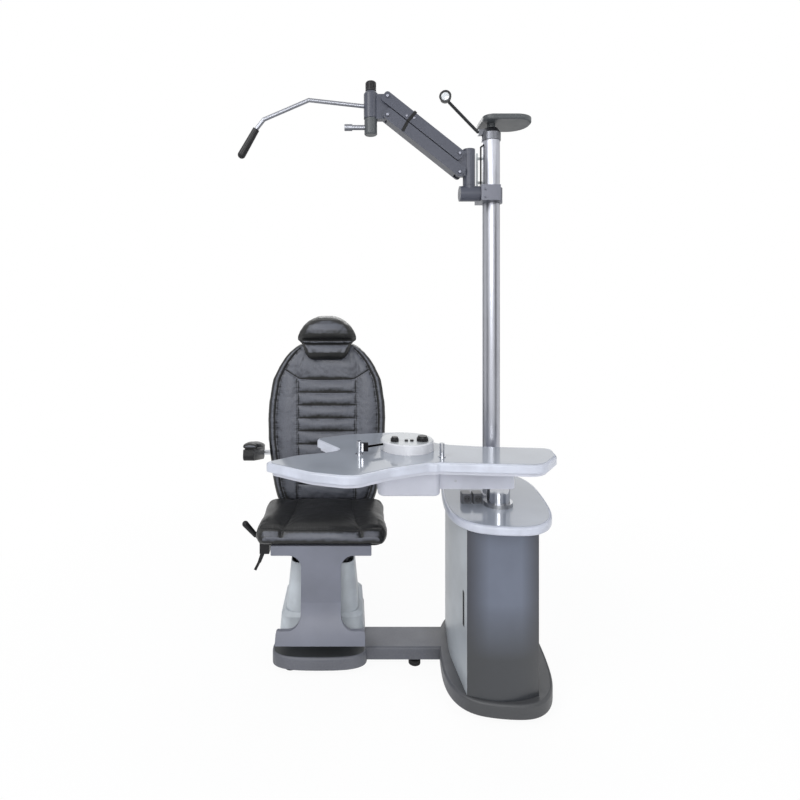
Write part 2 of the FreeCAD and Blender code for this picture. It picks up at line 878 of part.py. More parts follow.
def backrest_cushion():
    sections = []
    end_round = back_thickness * 0.9
    for height, draw in back_levels():
        near_end = min(height, back_height - height)
        fade = min(1.0, near_end / end_round)
        full = max(0.15, math.sqrt(1 - (1 - fade) ** 2))
        depth = back_thickness * (0.45 + 0.55 * full)
        half = back_half_x * back_half_width(height / back_height)
        sections.append(back_section(back_bottom + height, half, depth, back_crown * full,
                                     seam_depth * full, draw * channel_depth))
    cushion = Part.makeLoft(sections, True, True)
    for side in (-1, 1):
        x = side * headrest_post_x
        y = headrest_post_depth - back_thickness
        hole = headrest_post_radius + soft_gap
        bottom = V(x, y, headrest_post_bottom - soft_gap)
        cushion = cushion.cut(rod(hole, bottom, V(x, y, back_top + overrun)))
    behind = box(-back_half_x, back_half_x, -hinge_radius - back_lip_gap, overrun, back_bottom - overrun,
                 shell_bottom)
    return lean(cushion.cut(behind))


def backrest_shell():
    """The moulded back cover, a dished board behind the cushion."""
    wires = []
    steps_shares = (0.02, 0.06, 0.14, 0.26, 0.38, 0.5, 0.6, 0.7, 0.8, 0.88, 0.94, 0.975)
    for depth_share, inset_share in ((0.0, 1.0), (1.0, 3.2)):
        depth = soft_gap + depth_share * shell_thickness
        inset = shell_inset * inset_share
        right = []
        for share in steps_shares:
            half = back_half_x * back_half_width(share) - inset
            right.append((half, back_bottom + share * back_height))
        right[0] = (right[0][0], right[0][1] + inset / 2)
        right[-1] = (right[-1][0], right[-1][1] - inset / 2)
        left = [(-x, z) for x, z in reversed(right)]
        wires.append(rounded_wire(right + left, shell_thickness * 3, upright(depth)))
    below = box(-back_half_x, back_half_x, -overrun, shell_thickness + overrun, back_bottom - overrun,
                shell_bottom)
    return lean(Part.makeLoft(wires, True, True).cut(below))


def recline_hinge():
    """Two steel plates behind the backrest that swing on the frame's ears, and their pins."""
    parts = []
    shell_back = soft_gap + shell_thickness
    for side in (-1, 1):
        inner = side * (hinge_x - hinge_arm_thickness / 2 - body_gap)
        start = inner - side * hinge_arm_thickness
        points = [(-hinge_radius, -hinge_radius), (hinge_radius, -hinge_radius),
                  (shell_back + hinge_radius, hinge_knuckle),
                  (shell_back + hinge_radius, hinge_plate_height), (shell_back, hinge_plate_height),
                  (shell_back, hinge_knuckle * 1.6), (-hinge_radius, hinge_radius)]
        radii = [hinge_radius, hinge_radius, hinge_radius, hinge_radius / 3, 0, 0, hinge_radius / 2]
        arm = Part.Face(rounded_wire(points, radii,
                                     sideways(start))).extrude(V(side * hinge_arm_thickness, 0, 0))
        pin_start = start - side * hinge_arm_thickness / 2
        pin_end = side * (hinge_x + hinge_arm_thickness)
        pin = rod(hinge_pin_radius, V(pin_start, 0, 0), V(pin_end, 0, 0))
        parts.append(arm.fuse(pin))
    cross = box(-hinge_x + hinge_arm_thickness, hinge_x - hinge_arm_thickness, shell_back,
                shell_back + hinge_radius, hinge_plate_height - hinge_cross_height, hinge_plate_height)
    return lean(fuse(cross, *parts))


def headrest_posts():
    posts = []
    for side in (-1, 1):
        x = side * headrest_post_x
        y = headrest_post_depth - back_thickness
        posts.append(rod(headrest_post_radius, V(x, y, headrest_post_bottom), V(x, y, headrest_post_top)))
    return lean(Part.makeCompound(posts))


def headrest_section(v, half, front, back):
    place = level(v)
    round_side = min(half * 0.34, (front + back) * 0.8)
    inner = half - round_side
    face = -back_thickness
    edges = [Part.LineSegment(place(-inner, face + back), place(inner, face + back)).toShape(),
             sheared_arc((inner, face + back), (half, face + (back - front) / 2),
                         (round_side * 0.2, back * 0.12), place),
             sheared_arc((half, face + (back - front) / 2), (inner, face - front),
                         (round_side * 0.2, -front * 0.14), place),
             sheared_arc((inner, face - front), (-inner, face - front), (0, -front * 0.16), place),
             sheared_arc((-inner, face - front), (-half, face + (back - front) / 2),
                         (-round_side * 0.2, -front * 0.14), place),
             sheared_arc((-half, face + (back - front) / 2), (-inner, face + back),
                         (-round_side * 0.2, back * 0.12), place)]
    return Part.Wire(edges)


def headrest_cushion():
    """Two lobes with a drawn-in crease; the lower lobe lies on the backrest's face."""
    lobe = headrest_crease - headrest_bottom
    dome = headrest_top - headrest_crease
    low_back = -headrest_lobe_back - back_crown
    low_shares = ((0.0, 0.5, 0.45), (0.12, 0.62, 0.66), (0.35, 0.72, 0.82), (0.65, 0.78, 0.8),
                  (0.88, 0.83, 0.68))
    high_shares = ((0.0, 0.92, 0.56), (0.08, 0.985, 0.76), (0.22, 0.985, 0.95), (0.42, 0.91, 1.0),
                   (0.62, 0.79, 0.97),
                   (0.8, 0.62, 0.82), (0.92, 0.45, 0.6), (1.0, 0.29, 0.3))
    sections = []
    for at, wide, deep in low_shares:
        sections.append(headrest_section(headrest_bottom + at * lobe, wide * headrest_half_x,
                                         deep * headrest_front, low_back))
    first = high_shares[0]
    sections.append(headrest_section(headrest_crease, first[1] * headrest_half_x,
                                     first[2] * headrest_front, low_back))
    for at, wide, deep in high_shares[1:]:
        sections.append(headrest_section(headrest_crease + at * dome, wide * headrest_half_x,
                                         deep * headrest_front, headrest_back * min(1.0, deep + 0.2)))
    cushion = Part.makeLoft(sections, True, True)
    for side in (-1, 1):
        x = side * headrest_post_x
        y = headrest_post_depth - back_thickness
        hole = headrest_post_radius + soft_gap
        cushion = cushion.cut(rod(hole, V(x, y, headrest_crease - overrun),
                                  V(x, y, headrest_post_top + soft_gap)))
    return lean(cushion)


def armrest_pivot(side):
    """A bright spacer and pin that stand out from the back cover."""
    axis = lambda x: V(side * x, arm_pivot_y, arm_pivot_z)
    spacer = rod(arm_spacer_radius, axis(arm_spacer_start), axis(arm_spacer_end))
    bracket_end = arm_spacer_end + body_gap + arm_bracket_thickness + body_gap
    pin = rod(arm_pin_radius, axis(arm_spacer_end), axis(bracket_end))
    head = rod(arm_spacer_radius, axis(bracket_end), axis(bracket_end + arm_bolt_head))
    return fuse(spacer, pin, head)


def armrest_carrier():
    """A steel bar across the back cover with a boss, spacer and pin for each armrest."""
    v = (arm_pivot_z - recline_z) / math.cos(math.radians(back_lean))
    half = arm_spacer_start
    depth = soft_gap + shell_thickness
    bar = lean(box(-half, half, depth, depth + arm_bar_thickness, v - arm_boss_radius, v + arm_boss_radius))
    parts = []
    for side in (-1, 1):
        start = V(side * (arm_spacer_start - arm_carrier_boss), arm_pivot_y, arm_pivot_z)
        end = V(side * arm_spacer_start, arm_pivot_y, arm_pivot_z)
        parts += [rod(arm_boss_radius, start, end), armrest_pivot(side)]
    return fuse(bar, *parts)


def arm_tilted(shape):
    """Lifts the front of an armrest piece about its pivot."""
    moved = shape.copy()
    moved.rotate(V(0, arm_pivot_y, arm_pivot_z), X_AXIS, -arm_tilt)
    return moved


def armrest_bracket(side):
    """A deep moulded arm that runs from the pivot to the pad's front, with the pad's plate."""
    start = side * (arm_spacer_end + body_gap)
    outer = start + side * arm_bracket_thickness
    top = arm_pad_bottom - arm_plate_thickness
    front = arm_pad_front + arm_plate_inset
    hub = arm_hub_radius
    points = [(arm_pivot_y + hub, arm_pivot_z - hub), (arm_pivot_y + hub, arm_pivot_z + hub),
              (arm_pivot_y - hub / 2, arm_pivot_z + hub), (arm_pad_back, top), (front, top),
              (front, top - arm_bracket_depth), (arm_pivot_y - hub, arm_pivot_z - hub)]
    radii = [hub, hub, hub / 2, hub / 2, arm_edge_round, arm_bracket_depth / 2, hub]
    blade = Part.Face(rounded_wire(points, radii,
                                   sideways(start))).extrude(V(side * arm_bracket_thickness, 0, 0))
    rim = [e for e in blade.Edges
           if abs(e.BoundBox.XMin - outer) < running_gap and abs(e.BoundBox.XMax - outer) < running_gap]
    blade = blade.makeFillet(arm_edge_round / 2, rim)
    hole = rod(arm_pin_radius + running_gap, V(start - side * overrun, arm_pivot_y, arm_pivot_z),
               V(outer + side * overrun, arm_pivot_y, arm_pivot_z))
    low_x = arm_pad_inner + arm_plate_inset
    high_x = arm_pad_inner + arm_pad_width - arm_plate_inset
    plate = box(min(side * low_x, side * high_x), max(side * low_x, side * high_x),
                arm_pad_front + arm_plate_inset, arm_pad_back - arm_plate_inset, top, arm_pad_bottom)
    return arm_tilted(fuse(blade, plate).cut(hole))


def armrest_pad(side):
    """A rounded pad, narrower and lower at its ends."""
    centre = side * (arm_pad_inner + arm_pad_width / 2)
    length = arm_pad_back - arm_pad_front
    shares = ((0.0, 0.7, 0.5), (0.03, 0.86, 0.72), (0.1, 0.97, 0.92), (0.3, 1.0, 1.0), (0.65, 0.98, 0.98),
              (0.88, 0.93, 0.9), (0.97, 0.82, 0.72), (1.0, 0.68, 0.5))
    sections = []
    low = arm_pad_bottom + soft_gap
    for along, wide, tall in shares:
        place = upright(arm_pad_front + along * length)
        half = arm_pad_width / 2 * wide
        high = low + (arm_pad_thickness - soft_gap) * tall * 0.8
        foot = half * 0.84
        shoulder = half * 0.62
        edges = [Part.LineSegment(place(centre - foot, low), place(centre + foot, low)).toShape(),
                 sheared_arc((centre + foot, low), (centre + shoulder, high), (half * 0.2, 0), place),
                 sheared_arc((centre + shoulder, high), (centre - shoulder, high),
                             (0, (high - low) * 0.24), place),
                 sheared_arc((centre - shoulder, high), (centre - foot, low), (-half * 0.2, 0), place)]
        sections.append(Part.Wire(edges))
    return arm_tilted(Part.makeLoft(sections, True, True))


def lever_bearing(y, start, end):
    """A block under the seat frame that a lever's shaft turns in."""
    block = box(start, start + hinge_knuckle, y - hinge_radius, y + hinge_radius,
                lever_z - hinge_radius, seat_plane)
    bore = rod(lever_shaft_radius + running_gap, V(end, y, lever_z),
               V(start + hinge_knuckle + overrun, y, lever_z))
    return block.cut(bore)


def lever_bearings():
    start = lever_shaft_start + body_gap
    return Part.makeCompound([lever_bearing(lever_y, start, start - overrun),
                              lever_bearing(lock_y, start, start - overrun)])


def recline_knee():
    """Where the recline lever's bent rod ends, and the direction of its grip."""
    lean_shares = (-0.62, -0.15, 0.77)
    direction = V(*lean_shares).normalize()
    root = V(recline_root_x, lever_y, lever_z)
    return root, root + direction * recline_knee_length, direction


def recline_lever():
    """A bent steel rod that turns on its shaft."""
    root, tip, direction = recline_knee()
    shaft = rod(lever_shaft_radius, V(lever_shaft_start + hinge_knuckle, lever_y, lever_z), root)
    bend = Part.makeSphere(lever_shaft_radius, root)
    return fuse(shaft, bend, rod(recline_rod_radius, root, tip))


def recline_grip():
    root, tip, direction = recline_knee()
    end = tip + direction * recline_grip_length
    stem = cone(recline_grip_radius * 0.75, recline_grip_radius, tip, end)
    return fuse(stem, Part.makeSphere(recline_grip_radius, end)).cut(recline_lever())


def lock_points():
    """The lock lever's root, the paddle's top and its hanging end."""
    root = V(lock_root_x, lock_y, lever_z)
    end = root + V(-lock_reach, 0, -lock_drop)
    return root, root + (end - root).normalize() * lock_stem_length, end


def lock_lever():
    """A short shaft and stem with a flat hanging paddle."""
    root, knee, end = lock_points()
    shaft = rod(lever_shaft_radius, V(lever_shaft_start + hinge_knuckle, lock_y, lever_z), root)
    return fuse(shaft, Part.makeSphere(lever_shaft_radius, root), rod(lock_rod_radius, root, knee))


def lock_paddle():
    """A flat tapered blade that faces the chair's front."""
    root, knee, end = lock_points()
    along = (end - root).normalize()
    across = V(-along.z, 0, along.x)
    half = lock_paddle_width / 2
    tip_half = half * 0.7
    corners = [knee - across * half, knee + across * half, end + across * tip_half, end - across * tip_half]
    points = [(corner.x, corner.z) for corner in corners]
    radii = [half * 0.6, half * 0.6, half * 0.65, half * 0.65]
    start = lock_y - lock_paddle_thickness / 2
    return Part.Face(rounded_wire(points, radii, upright(start))).extrude(V(0, lock_paddle_thickness, 0))


def cabinet_outline(inset):
    """The side and back walls' plan, wider in the middle than at the ends."""
    rear_y = 2 * cabinet_mid_y - cabinet_front_y - inset
    front = cabinet_front_half - inset
    mid = cabinet_mid_half - inset
    return [(cabinet_x - front, cabinet_front_y), (cabinet_x - mid, cabinet_mid_y),
            (cabinet_x - front, rear_y), (cabinet_x + front, rear_y),
            (cabinet_x + mid, cabinet_mid_y), (cabinet_x + front, cabinet_front_y)]


def cabinet_radii(inset):
    bend = cabinet_mid_half * 4
    corner = pedestal_corner - inset
    return [0, bend, corner, corner, bend, 0]


def console_cabinet():
    outer = slab(cabinet_outline(0.0), cabinet_radii(0.0), base_top, console_top_bottom)
    points = cabinet_outline(cabinet_wall)
    first = (points[0][0], points[0][1] - overrun)
    last = (points[5][0], points[5][1] - overrun)
    inner = slab([first] + points[1:5] + [last], cabinet_radii(cabinet_wall), base_top - overrun,
                 console_top_bottom + overrun)
    shell = outer.cut(inner)
    slot_half = vent_width / 2
    slot = box(cabinet_x - cabinet_mid_half - overrun, cabinet_x - cabinet_front_half + overrun * 2,
               vent_y - slot_half,
               vent_y + slot_half, vent_bottom, vent_bottom + vent_height)
    rear = cabinet_rear_y()
    inlet = box(cabinet_x - inlet_width / 2, cabinet_x + inlet_width / 2, rear - cabinet_wall - overrun,
                rear + overrun, inlet_z, inlet_z + inlet_height)
    return shell.cut(slot).cut(inlet)


def cabinet_rear_y():
    return 2 * cabinet_mid_y - cabinet_front_y


def console_front_panel():
    """A bowed sheet that closes the cabinet's open front."""
    half = cabinet_front_half
    y = cabinet_front_y
    wall = front_panel_wall
    place = level(base_top)
    edges = [sheared_arc((cabinet_x - half, y), (cabinet_x + half, y), (0, -front_bow), place),
             Part.LineSegment(place(cabinet_x + half, y), place(cabinet_x + half - wall, y)).toShape(),
             sheared_arc((cabinet_x + half - wall, y), (cabinet_x - half + wall, y),
                         (0, wall - front_bow), place),
             Part.LineSegment(place(cabinet_x - half + wall, y), place(cabinet_x - half, y)).toShape()]
    return Part.Face(Part.Wire(edges)).extrude(V(0, 0, cabinet_height))


def vent_side_x(y):
    """The outer face of the cabinet's left wall at a given depth."""
    share = (y - cabinet_front_y) / (cabinet_mid_y - cabinet_front_y)
    return cabinet_x - cabinet_front_half - share * (cabinet_mid_half - cabinet_front_half)


def side_vent():
    """A slotted insert in the cabinet's left wall."""
    half = vent_width / 2
    front_x = vent_side_x(vent_y - half)
    back_x = vent_side_x(vent_y + half)
    low_x = max(front_x, back_x) + body_gap
    plate = box(low_x, low_x + vent_plate, vent_y - half, vent_y + half, vent_bottom,
                vent_bottom + vent_height)
    pitch = vent_height / (vent_slots + 1)
    for n in range(vent_slots):
        z = vent_bottom + pitch * (n + 0.75)
        plate = plate.cut(box(low_x - overrun, low_x + vent_plate + overrun, vent_y - half * 0.7,
                              vent_y + half * 0.7, z, z + pitch / 2))
    return plate


def console_top():
    top = plan_turned(square_oval(console_top_half_x, console_top_half_y, plan_x, console_top_y,
                                  console_top_bottom, console_top_level))
    top = top.makeFillet(console_top_round, edges_at(top, console_top_level) + edges_at(top,
            console_top_bottom))
    bore = rod(lift_radius + guide_wall, V(console_x, lift_y, console_top_bottom - overrun),
               V(console_x, lift_y, console_top_level + overrun))
    return top.cut(bore)


def console_inlay():
    """The thin glossy sheet set on the console's top."""
    sheet = plan_turned(square_oval(console_top_half_x - inlay_inset, console_top_half_y - inlay_inset,
                                    plan_x, console_top_y, console_top_level,
                                    console_top_level + inlay_thickness))
    for x, y, radius in ((console_x, lift_y, lift_collar_radius), (column_x, column_y, column_foot_radius)):
        sheet = sheet.cut(rod(radius, V(x, y, console_top_level - overrun),
                              V(x, y, console_top_level + overrun)))
    block = box(socket_x - socket_pitch / 2 - socket_half_x, socket_x + socket_pitch / 2 + socket_half_x,
                socket_y - socket_half_y, socket_y + socket_half_y, console_top_level - overrun,
                console_top_level + overrun)
    return sheet.cut(block)


def power_supply():
    return box(cabinet_x - supply_half_x, cabinet_x + supply_half_x, supply_y - supply_depth / 2,
               supply_y + supply_depth / 2, base_top, base_top + supply_height)


def mains_inlet():
    """A recessed mains inlet in the cabinet's back."""
    rear = cabinet_rear_y()
    half = inlet_width / 2
    body = box(cabinet_x - half, cabinet_x + half, rear - inlet_depth, rear, inlet_z, inlet_z + inlet_height)
    lip = box(cabinet_x - half - inlet_lip, cabinet_x + half + inlet_lip, rear, rear + inlet_lip / 2,
              inlet_z - inlet_lip, inlet_z + inlet_height + inlet_lip)
    inner = inlet_height / 2 - inlet_lip
    middle = inlet_z + inlet_height / 2
    cavity = box(cabinet_x - half + inlet_lip, cabinet_x + half - inlet_lip, rear - inlet_cavity_depth,
                 rear + inlet_lip,
                 middle - inner, middle + inner)
    return body.fuse(lip).cut(cavity)


def lift_guide():
    """The fixed outer tube of the table's lifting column, with its collar."""
    axis = lambda z: V(console_x, lift_y, z)
    inner = lift_radius + running_gap
    tube = ring(lift_radius + guide_wall, inner, axis(base_top), axis(console_top_level))
    collar = ring(lift_collar_radius, inner, axis(console_top_level),
                  axis(console_top_level + lift_collar_height))
    return fuse(tube, collar)


def table_motor():
    axis = lambda z: V(console_x, lift_y, z)
    body = rod(table_motor_radius, axis(base_top), axis(base_top + table_motor_height))
    bore = rod(table_ram_radius + running_gap, axis(base_top + table_motor_radius),
               axis(base_top + table_motor_height + overrun))
    return body.cut(bore)


def table_ram():
    axis = lambda z: V(console_x, lift_y, z)
    return rod(table_ram_radius, axis(base_top + table_motor_height - table_motor_radius),
               axis(lift_tube_bottom + lift_tube_wall))


def table_lift_tube():
    axis = lambda z: V(console_x, lift_y, z)
    tube = rod(lift_radius, axis(lift_tube_bottom), axis(arm_box_bottom))
    hollow = rod(lift_radius - lift_tube_wall, axis(lift_tube_bottom + 2 * lift_tube_wall),
                 axis(arm_box_bottom + overrun))
    socket = rod(table_ram_radius, axis(lift_tube_bottom - overrun), axis(lift_tube_bottom + lift_tube_wall))
    return tube.cut(hollow).cut(socket)


def table_arm():
    """The cover from the lifting column to the table's hub."""
    depth = arm_box_depth / 2
    centre_y = arm_box_front + depth
    points = rectangle((arm_box_end - arm_box_start) / 2, depth, (arm_box_start + arm_box_end) / 2, centre_y)
    outer = slab(points, [0, arm_box_round * 2, arm_box_round * 2, 0], arm_box_bottom, arm_box_top)
    inner = rectangle((arm_box_end - arm_box_start) / 2 - arm_box_wall, depth - arm_box_wall,
                      (arm_box_start + arm_box_end) / 2, centre_y)
    hollow = slab(inner, arm_box_round, arm_box_bottom + arm_box_wall, arm_box_top - arm_box_wall)
    return outer.cut(hollow)


def table_hub():
    depth = hub_box_depth / 2
    points = rectangle(hub_box_half_x, depth, table_x, hub_box_front + depth)
    block = slab(points, hub_box_round, hub_box_bottom, arm_box_top)
    block = block.makeFillet(arm_box_round, edges_at(block, hub_box_bottom))
    bore = rod(pivot_shaft_radius + running_gap, V(table_x, table_y, hub_box_bottom + arm_box_round),
               V(table_x, table_y, arm_box_top + overrun))
    return block.cut(bore)


def table_bearing():
    half = bearing_height / 2
    return ring(bearing_radius, bearing_bore, V(table_x, table_y, arm_box_top),
                V(table_x, table_y, arm_box_top + half))


def table_pivot():
    """The shaft that turns in the hub and its flange under the support plate."""
    half = bearing_height / 2
    shaft = rod(pivot_shaft_radius, V(table_x, table_y, hub_box_bottom + hub_box_round),
                V(table_x, table_y, support_bottom))
    flange = rod(bearing_radius, V(table_x, table_y, arm_box_top + half), V(table_x, table_y, support_bottom))
    return shaft.fuse(flange)


def table_outline(inset):
    """Plan of the three-winged top around its pivot, in shares of its four reaches."""
    left_shares = ((-1.0, -0.545), (-0.79, -0.27), (-0.575, -0.152), (-0.49, -0.055))
    rear_shares = ((-0.675, 0.5), (-0.66, 0.61), (-0.475, 0.83), (-0.225, 0.935), (0.01, 1.0))
    right_shares = ((0.164, 0.861), (0.214, 0.32), (0.32, 0.21), (0.52, 0.12), (1.0, 0.015))
    front_shares = ((0.975, -0.31), (0.815, -0.67), (0.17, -0.577), (0.15, -0.6), (0.108, -0.58))
    wing_shares = ((-0.153, -0.77), (-0.36, -1.0), (-0.46, -1.0), (-0.663, -0.898))
    points = [(x * table_left, y * table_front) for x, y in left_shares]
    points += [(x * table_left, y * table_rear) for x, y in rear_shares[:4]]
    points += [(rear_shares[4][0] * table_right, rear_shares[4][1] * table_rear)]
    points += [(x * table_right, y * table_rear) for x, y in right_shares]
    points += [(x * table_right, y * table_front) for x, y in front_shares]
    points += [(x * table_left, y * table_front) for x, y in wing_shares]
    placed = [V(table_x + x, table_y + y, 0) for x, y in points]
    if inset <= 0:
        return [(p.x, p.y) for p in placed]
    moved = []
    for i, point in enumerate(placed):
        before = (point - placed[i - 1]).normalize()
        after = (placed[(i + 1) % len(placed)] - point).normalize()
        inward = V(before.y + after.y, -before.x - after.x, 0).normalize()
        half = math.cos(before.getAngle(after) / 2)
        shifted = point + inward * (inset / max(half, 0.6))
        moved.append((shifted.x, shifted.y))
    return moved


def table_radii():
    small = table_rear * 0.09
    wide = table_rear * 0.3
    return [small, wide * 2, wide, wide, small, small, wide * 2, wide * 2, wide,
            small, wide, wide, wide * 2, small, wide, wide, wide * 2, wide, wide * 2,
            wide * 2, wide, wide, wide * 2]


def tabletop():
    top = slab(table_outline(0.0), table_radii(), top_bottom, table_level)
    return top.makeFillet(top_edge_round, edges_at(top, table_level))


def tabletop_inlay():
    """The thin coloured laminate set inside the tabletop's pale edge."""
    sheet = slab(table_outline(inlay_inset), table_radii(), table_level, table_level + inlay_thickness)
    sheet = sheet.cut(rod(puck_radius + soft_gap, V(table_x, table_y, table_level - overrun),
                          V(table_x, table_y, table_level + overrun)))
    for x, y in ((left_post_x, left_post_y), (right_post_x, right_post_y)):
        at = V(table_x + x, table_y + y, table_level - overrun)
        sheet = sheet.cut(rod(post_flange_radius, at, at + Z_AXIS * 2 * overrun))
    return sheet


def table_support():
    return slab(table_outline(support_inset), table_radii(), support_bottom, top_bottom)


def table_post(x, y):
    at = V(table_x + x, table_y + y, table_level)
    flange = rod(post_flange_radius, at, at + Z_AXIS * post_flange_height)
    stem = rod(post_radius, at, at + Z_AXIS * post_height)
    return flange.fuse(stem)


def left_post():
    return table_post(left_post_x, left_post_y)


def right_post():
    return table_post(right_post_x, right_post_y)


def post_link():
    """A black clamp on the left post with a rod that reaches the control puck."""
    x = table_x + left_post_x + post_radius
    y = table_y + left_post_y
    z = table_level + link_rod_z
    block = box(x, x + link_block_x, y - link_block_y / 2, y + link_block_y / 2, z - link_block_z / 2,
                z + link_block_z / 2)
    toward = V(table_x, table_y, z) - V(x + link_block_x, y, z)
    start = V(x + link_block_x / 2, y, z)
    reach = toward.Length - puck_top_radius
    rod_end = start + toward.normalize() * reach
    return fuse(block, rod(link_rod_radius, start, rod_end).cut(puck_envelope()))


def puck_envelope():
    at = V(table_x, table_y, table_level)
    side_top = at + Z_AXIS * puck_side
    side = rod(puck_radius, at, side_top)
    slope = cone(puck_radius, puck_top_radius, side_top, at + Z_AXIS * puck_height)
    return side.fuse(slope)


def puck_body():
    body = puck_envelope()
    for n in range(button_count):
        x = table_x + button_x + n * button_pitch
        at = V(x, table_y + button_y, table_level + puck_height - button_well)
        body = body.cut(rod(button_radius + running_gap, at, at + Z_AXIS * (button_well + overrun)))
    for x, y, radius in ((dial_x, dial_y, dial_shaft), (small_dial_x, small_dial_y, dial_shaft)):
        at = V(table_x + x, table_y + y, table_level + puck_height - button_well)
        body = body.cut(rod(radius + running_gap, at, at + Z_AXIS * (button_well + overrun)))
    return body


def dial(x, y, radius, height):
    """A control knob on a thin shaft, with a knurled skirt and a pointer ridge."""
    base = table_level + puck_height
    at = V(table_x + x, table_y + y, base + body_gap)
    body = rod(radius, at, at + Z_AXIS * height * 0.6)
    cap = cone(radius * 0.86, radius * 0.76, at + Z_AXIS * height * 0.6, at + Z_AXIS * height)
    shaft = rod(dial_shaft, V(at.x, at.y, base - button_well + body_gap), at)
    knob = fuse(body, cap, shaft)
    for n in range(knob_flutes):
        turn = 2 * math.pi * n / knob_flutes
        edge = at + V(radius * math.cos(turn), radius * math.sin(turn), -overrun)
        knob = knob.cut(rod(radius * 0.09, edge, edge + Z_AXIS * (height * 0.5 + overrun)))
    return knob


def puck_button(n):
    x = table_x + button_x + n * button_pitch
    at = V(x, table_y + button_y, table_level + puck_height)
    low = at - Z_AXIS * (button_well - button_travel - body_gap)
    return rod(button_radius, low, at + Z_AXIS * button_height)


def main_column():
    axis = lambda z: V(column_x, column_y, z)
    return ring(column_radius, column_radius - column_tube_wall, axis(console_top_level), axis(column_top))


def column_collar():
    axis = lambda z: V(column_x, column_y, z)
    collar = ring(column_foot_radius, column_radius, axis(console_top_level),
                  axis(console_top_level + column_foot_height))
    edge = edges_at(collar, console_top_level + column_foot_height)
    return collar.makeChamfer(column_foot_height / 4,
                              [e for e in edge if e.BoundBox.XLength > 2.2 * column_radius])


def column_cap():
    axis = lambda z: V(column_x, column_y, z)
    top = column_top + cap_height
    skirt = rod(cap_low_radius, axis(column_top - cap_socket), axis(column_top + cap_height * 0.35))
    shoulder = cone(cap_low_radius, cap_high_radius, axis(column_top + cap_height * 0.35), axis(top))
    cap = fuse(skirt, shoulder)
    cap = cap.cut(rod(column_radius, axis(column_top - cap_socket - overrun), axis(column_top)))
    return cap.cut(rod(tray_post_radius + running_gap, axis(column_top + cap_height * 0.2),
                       axis(top + overrun)))


def tray_post():
    axis = lambda z: V(column_x, column_y, z)
    return rod(tray_post_radius, axis(column_top + cap_height * 0.2 + body_gap), axis(tray_bottom))


def instrument_tray():
    """A shallow dished tray on top of the column."""
    centre_x = (tray_left + tray_right) / 2
    centre_y = (tray_front + tray_back) / 2
    half_x = (tray_right - tray_left) / 2
    half_y = (tray_back - tray_front) / 2
    radii = [tray_corner, half_y * 0.9, half_y * 0.9, tray_corner]
    outer = slab(rectangle(half_x, half_y, centre_x, centre_y), radii, tray_bottom,
                 tray_bottom + tray_thickness)
    outer = outer.makeFillet(tray_wall * 2, edges_at(outer, tray_bottom))
    inner_radii = [r - tray_wall for r in radii]
    inner = slab(rectangle(half_x - tray_wall, half_y - tray_wall, centre_x, centre_y), inner_radii,
                 tray_bottom + tray_wall * 2, tray_bottom + tray_thickness + overrun)
    return outer.cut(inner)


def socket_block():
    """Two black outlet blocks on the console's top."""
    blocks = []
    for side in (-1, 1):
        x = socket_x + side * socket_pitch / 2
        block = slab(rectangle(socket_half_x, socket_half_y, x, socket_y), socket_half_x / 3,
                     console_top_level, console_top_level + socket_height)
        edges = edges_at(block, console_top_level + socket_height)
        blocks.append(block.makeFillet(socket_half_x / 5, edges))
    return Part.makeCompound(blocks)


def neck_route():
    """The gooseneck's path: out of the cap, then one gentle bend up to the lamp."""
    start = V(neck_root_x, column_y, neck_root_z)
    end = V(lamp_x + lamp_ball_radius, lamp_y, lamp_z - lamp_ball_radius)
    return start, end


def neck_socket():
    """A small block on the column's cap that the gooseneck screws into."""
    start, end = neck_route()
    block = box(start.x, column_x - cap_high_radius * 0.5, column_y - neck_radius * 1.6,
                column_y + neck_radius * 1.6,
                start.z - neck_radius * 1.7, start.z + neck_radius * 1.7)
    axis = lambda z: V(column_x, column_y, z)
    core = rod(cap_low_radius + running_gap * 2, axis(column_top - cap_socket),
               axis(column_top + cap_height * 0.35))
    top = cone(cap_low_radius + running_gap * 2, cap_high_radius + running_gap * 2,
               axis(column_top + cap_height * 0.35), axis(column_top + cap_height))
    return block.cut(core).cut(top).cut(rod(neck_radius, start, end))


def gooseneck():
    """A ribbed hose with its bore: circles that swell and shrink in step along the route."""
    start, end = neck_route()
    along = end - start
    plain = neck_plain
    length = along.Length
    direction = V(along.x, along.y, along.z).normalize()
    ribs = int((length - 2 * plain) / neck_pitch)
    pitch = (length - 2 * plain) / ribs
    stations = [(0.0, 0.0), (plain, 0.0)]
    for n in range(ribs):
        for at_share, swell_share in ((0.25, 1.0), (0.6, 1.0), (0.8, 0.0), (1.0, 0.0)):
            stations.append((plain + (n + at_share) * pitch, swell_share))
    stations.append((length, 0.0))
    wires = []
    for at, swell in stations:
        circle = Part.Circle(start + direction * at, direction, neck_radius - neck_rib + swell * neck_rib)
        circle.XAxis = Y_AXIS
        wires.append(Part.Wire(circle.toShape()))
    hose = Part.makeLoft(wires, True, True)
    return hose.cut(rod(neck_bore, start - direction * overrun, end + direction * overrun))


def lamp_direction():
    tilt = math.radians(lamp_tilt)
    return V(-math.sin(tilt), -math.cos(tilt), -math.sin(tilt) / 2).normalize()


def lamp_joint():
    """The ball end of the gooseneck that the lamp tilts on."""
    start, end = neck_route()
    direction = (end - start).normalize()
    ball = Part.makeSphere(lamp_ball_radius, end + direction * lamp_ball_radius * 0.8)
    return ball


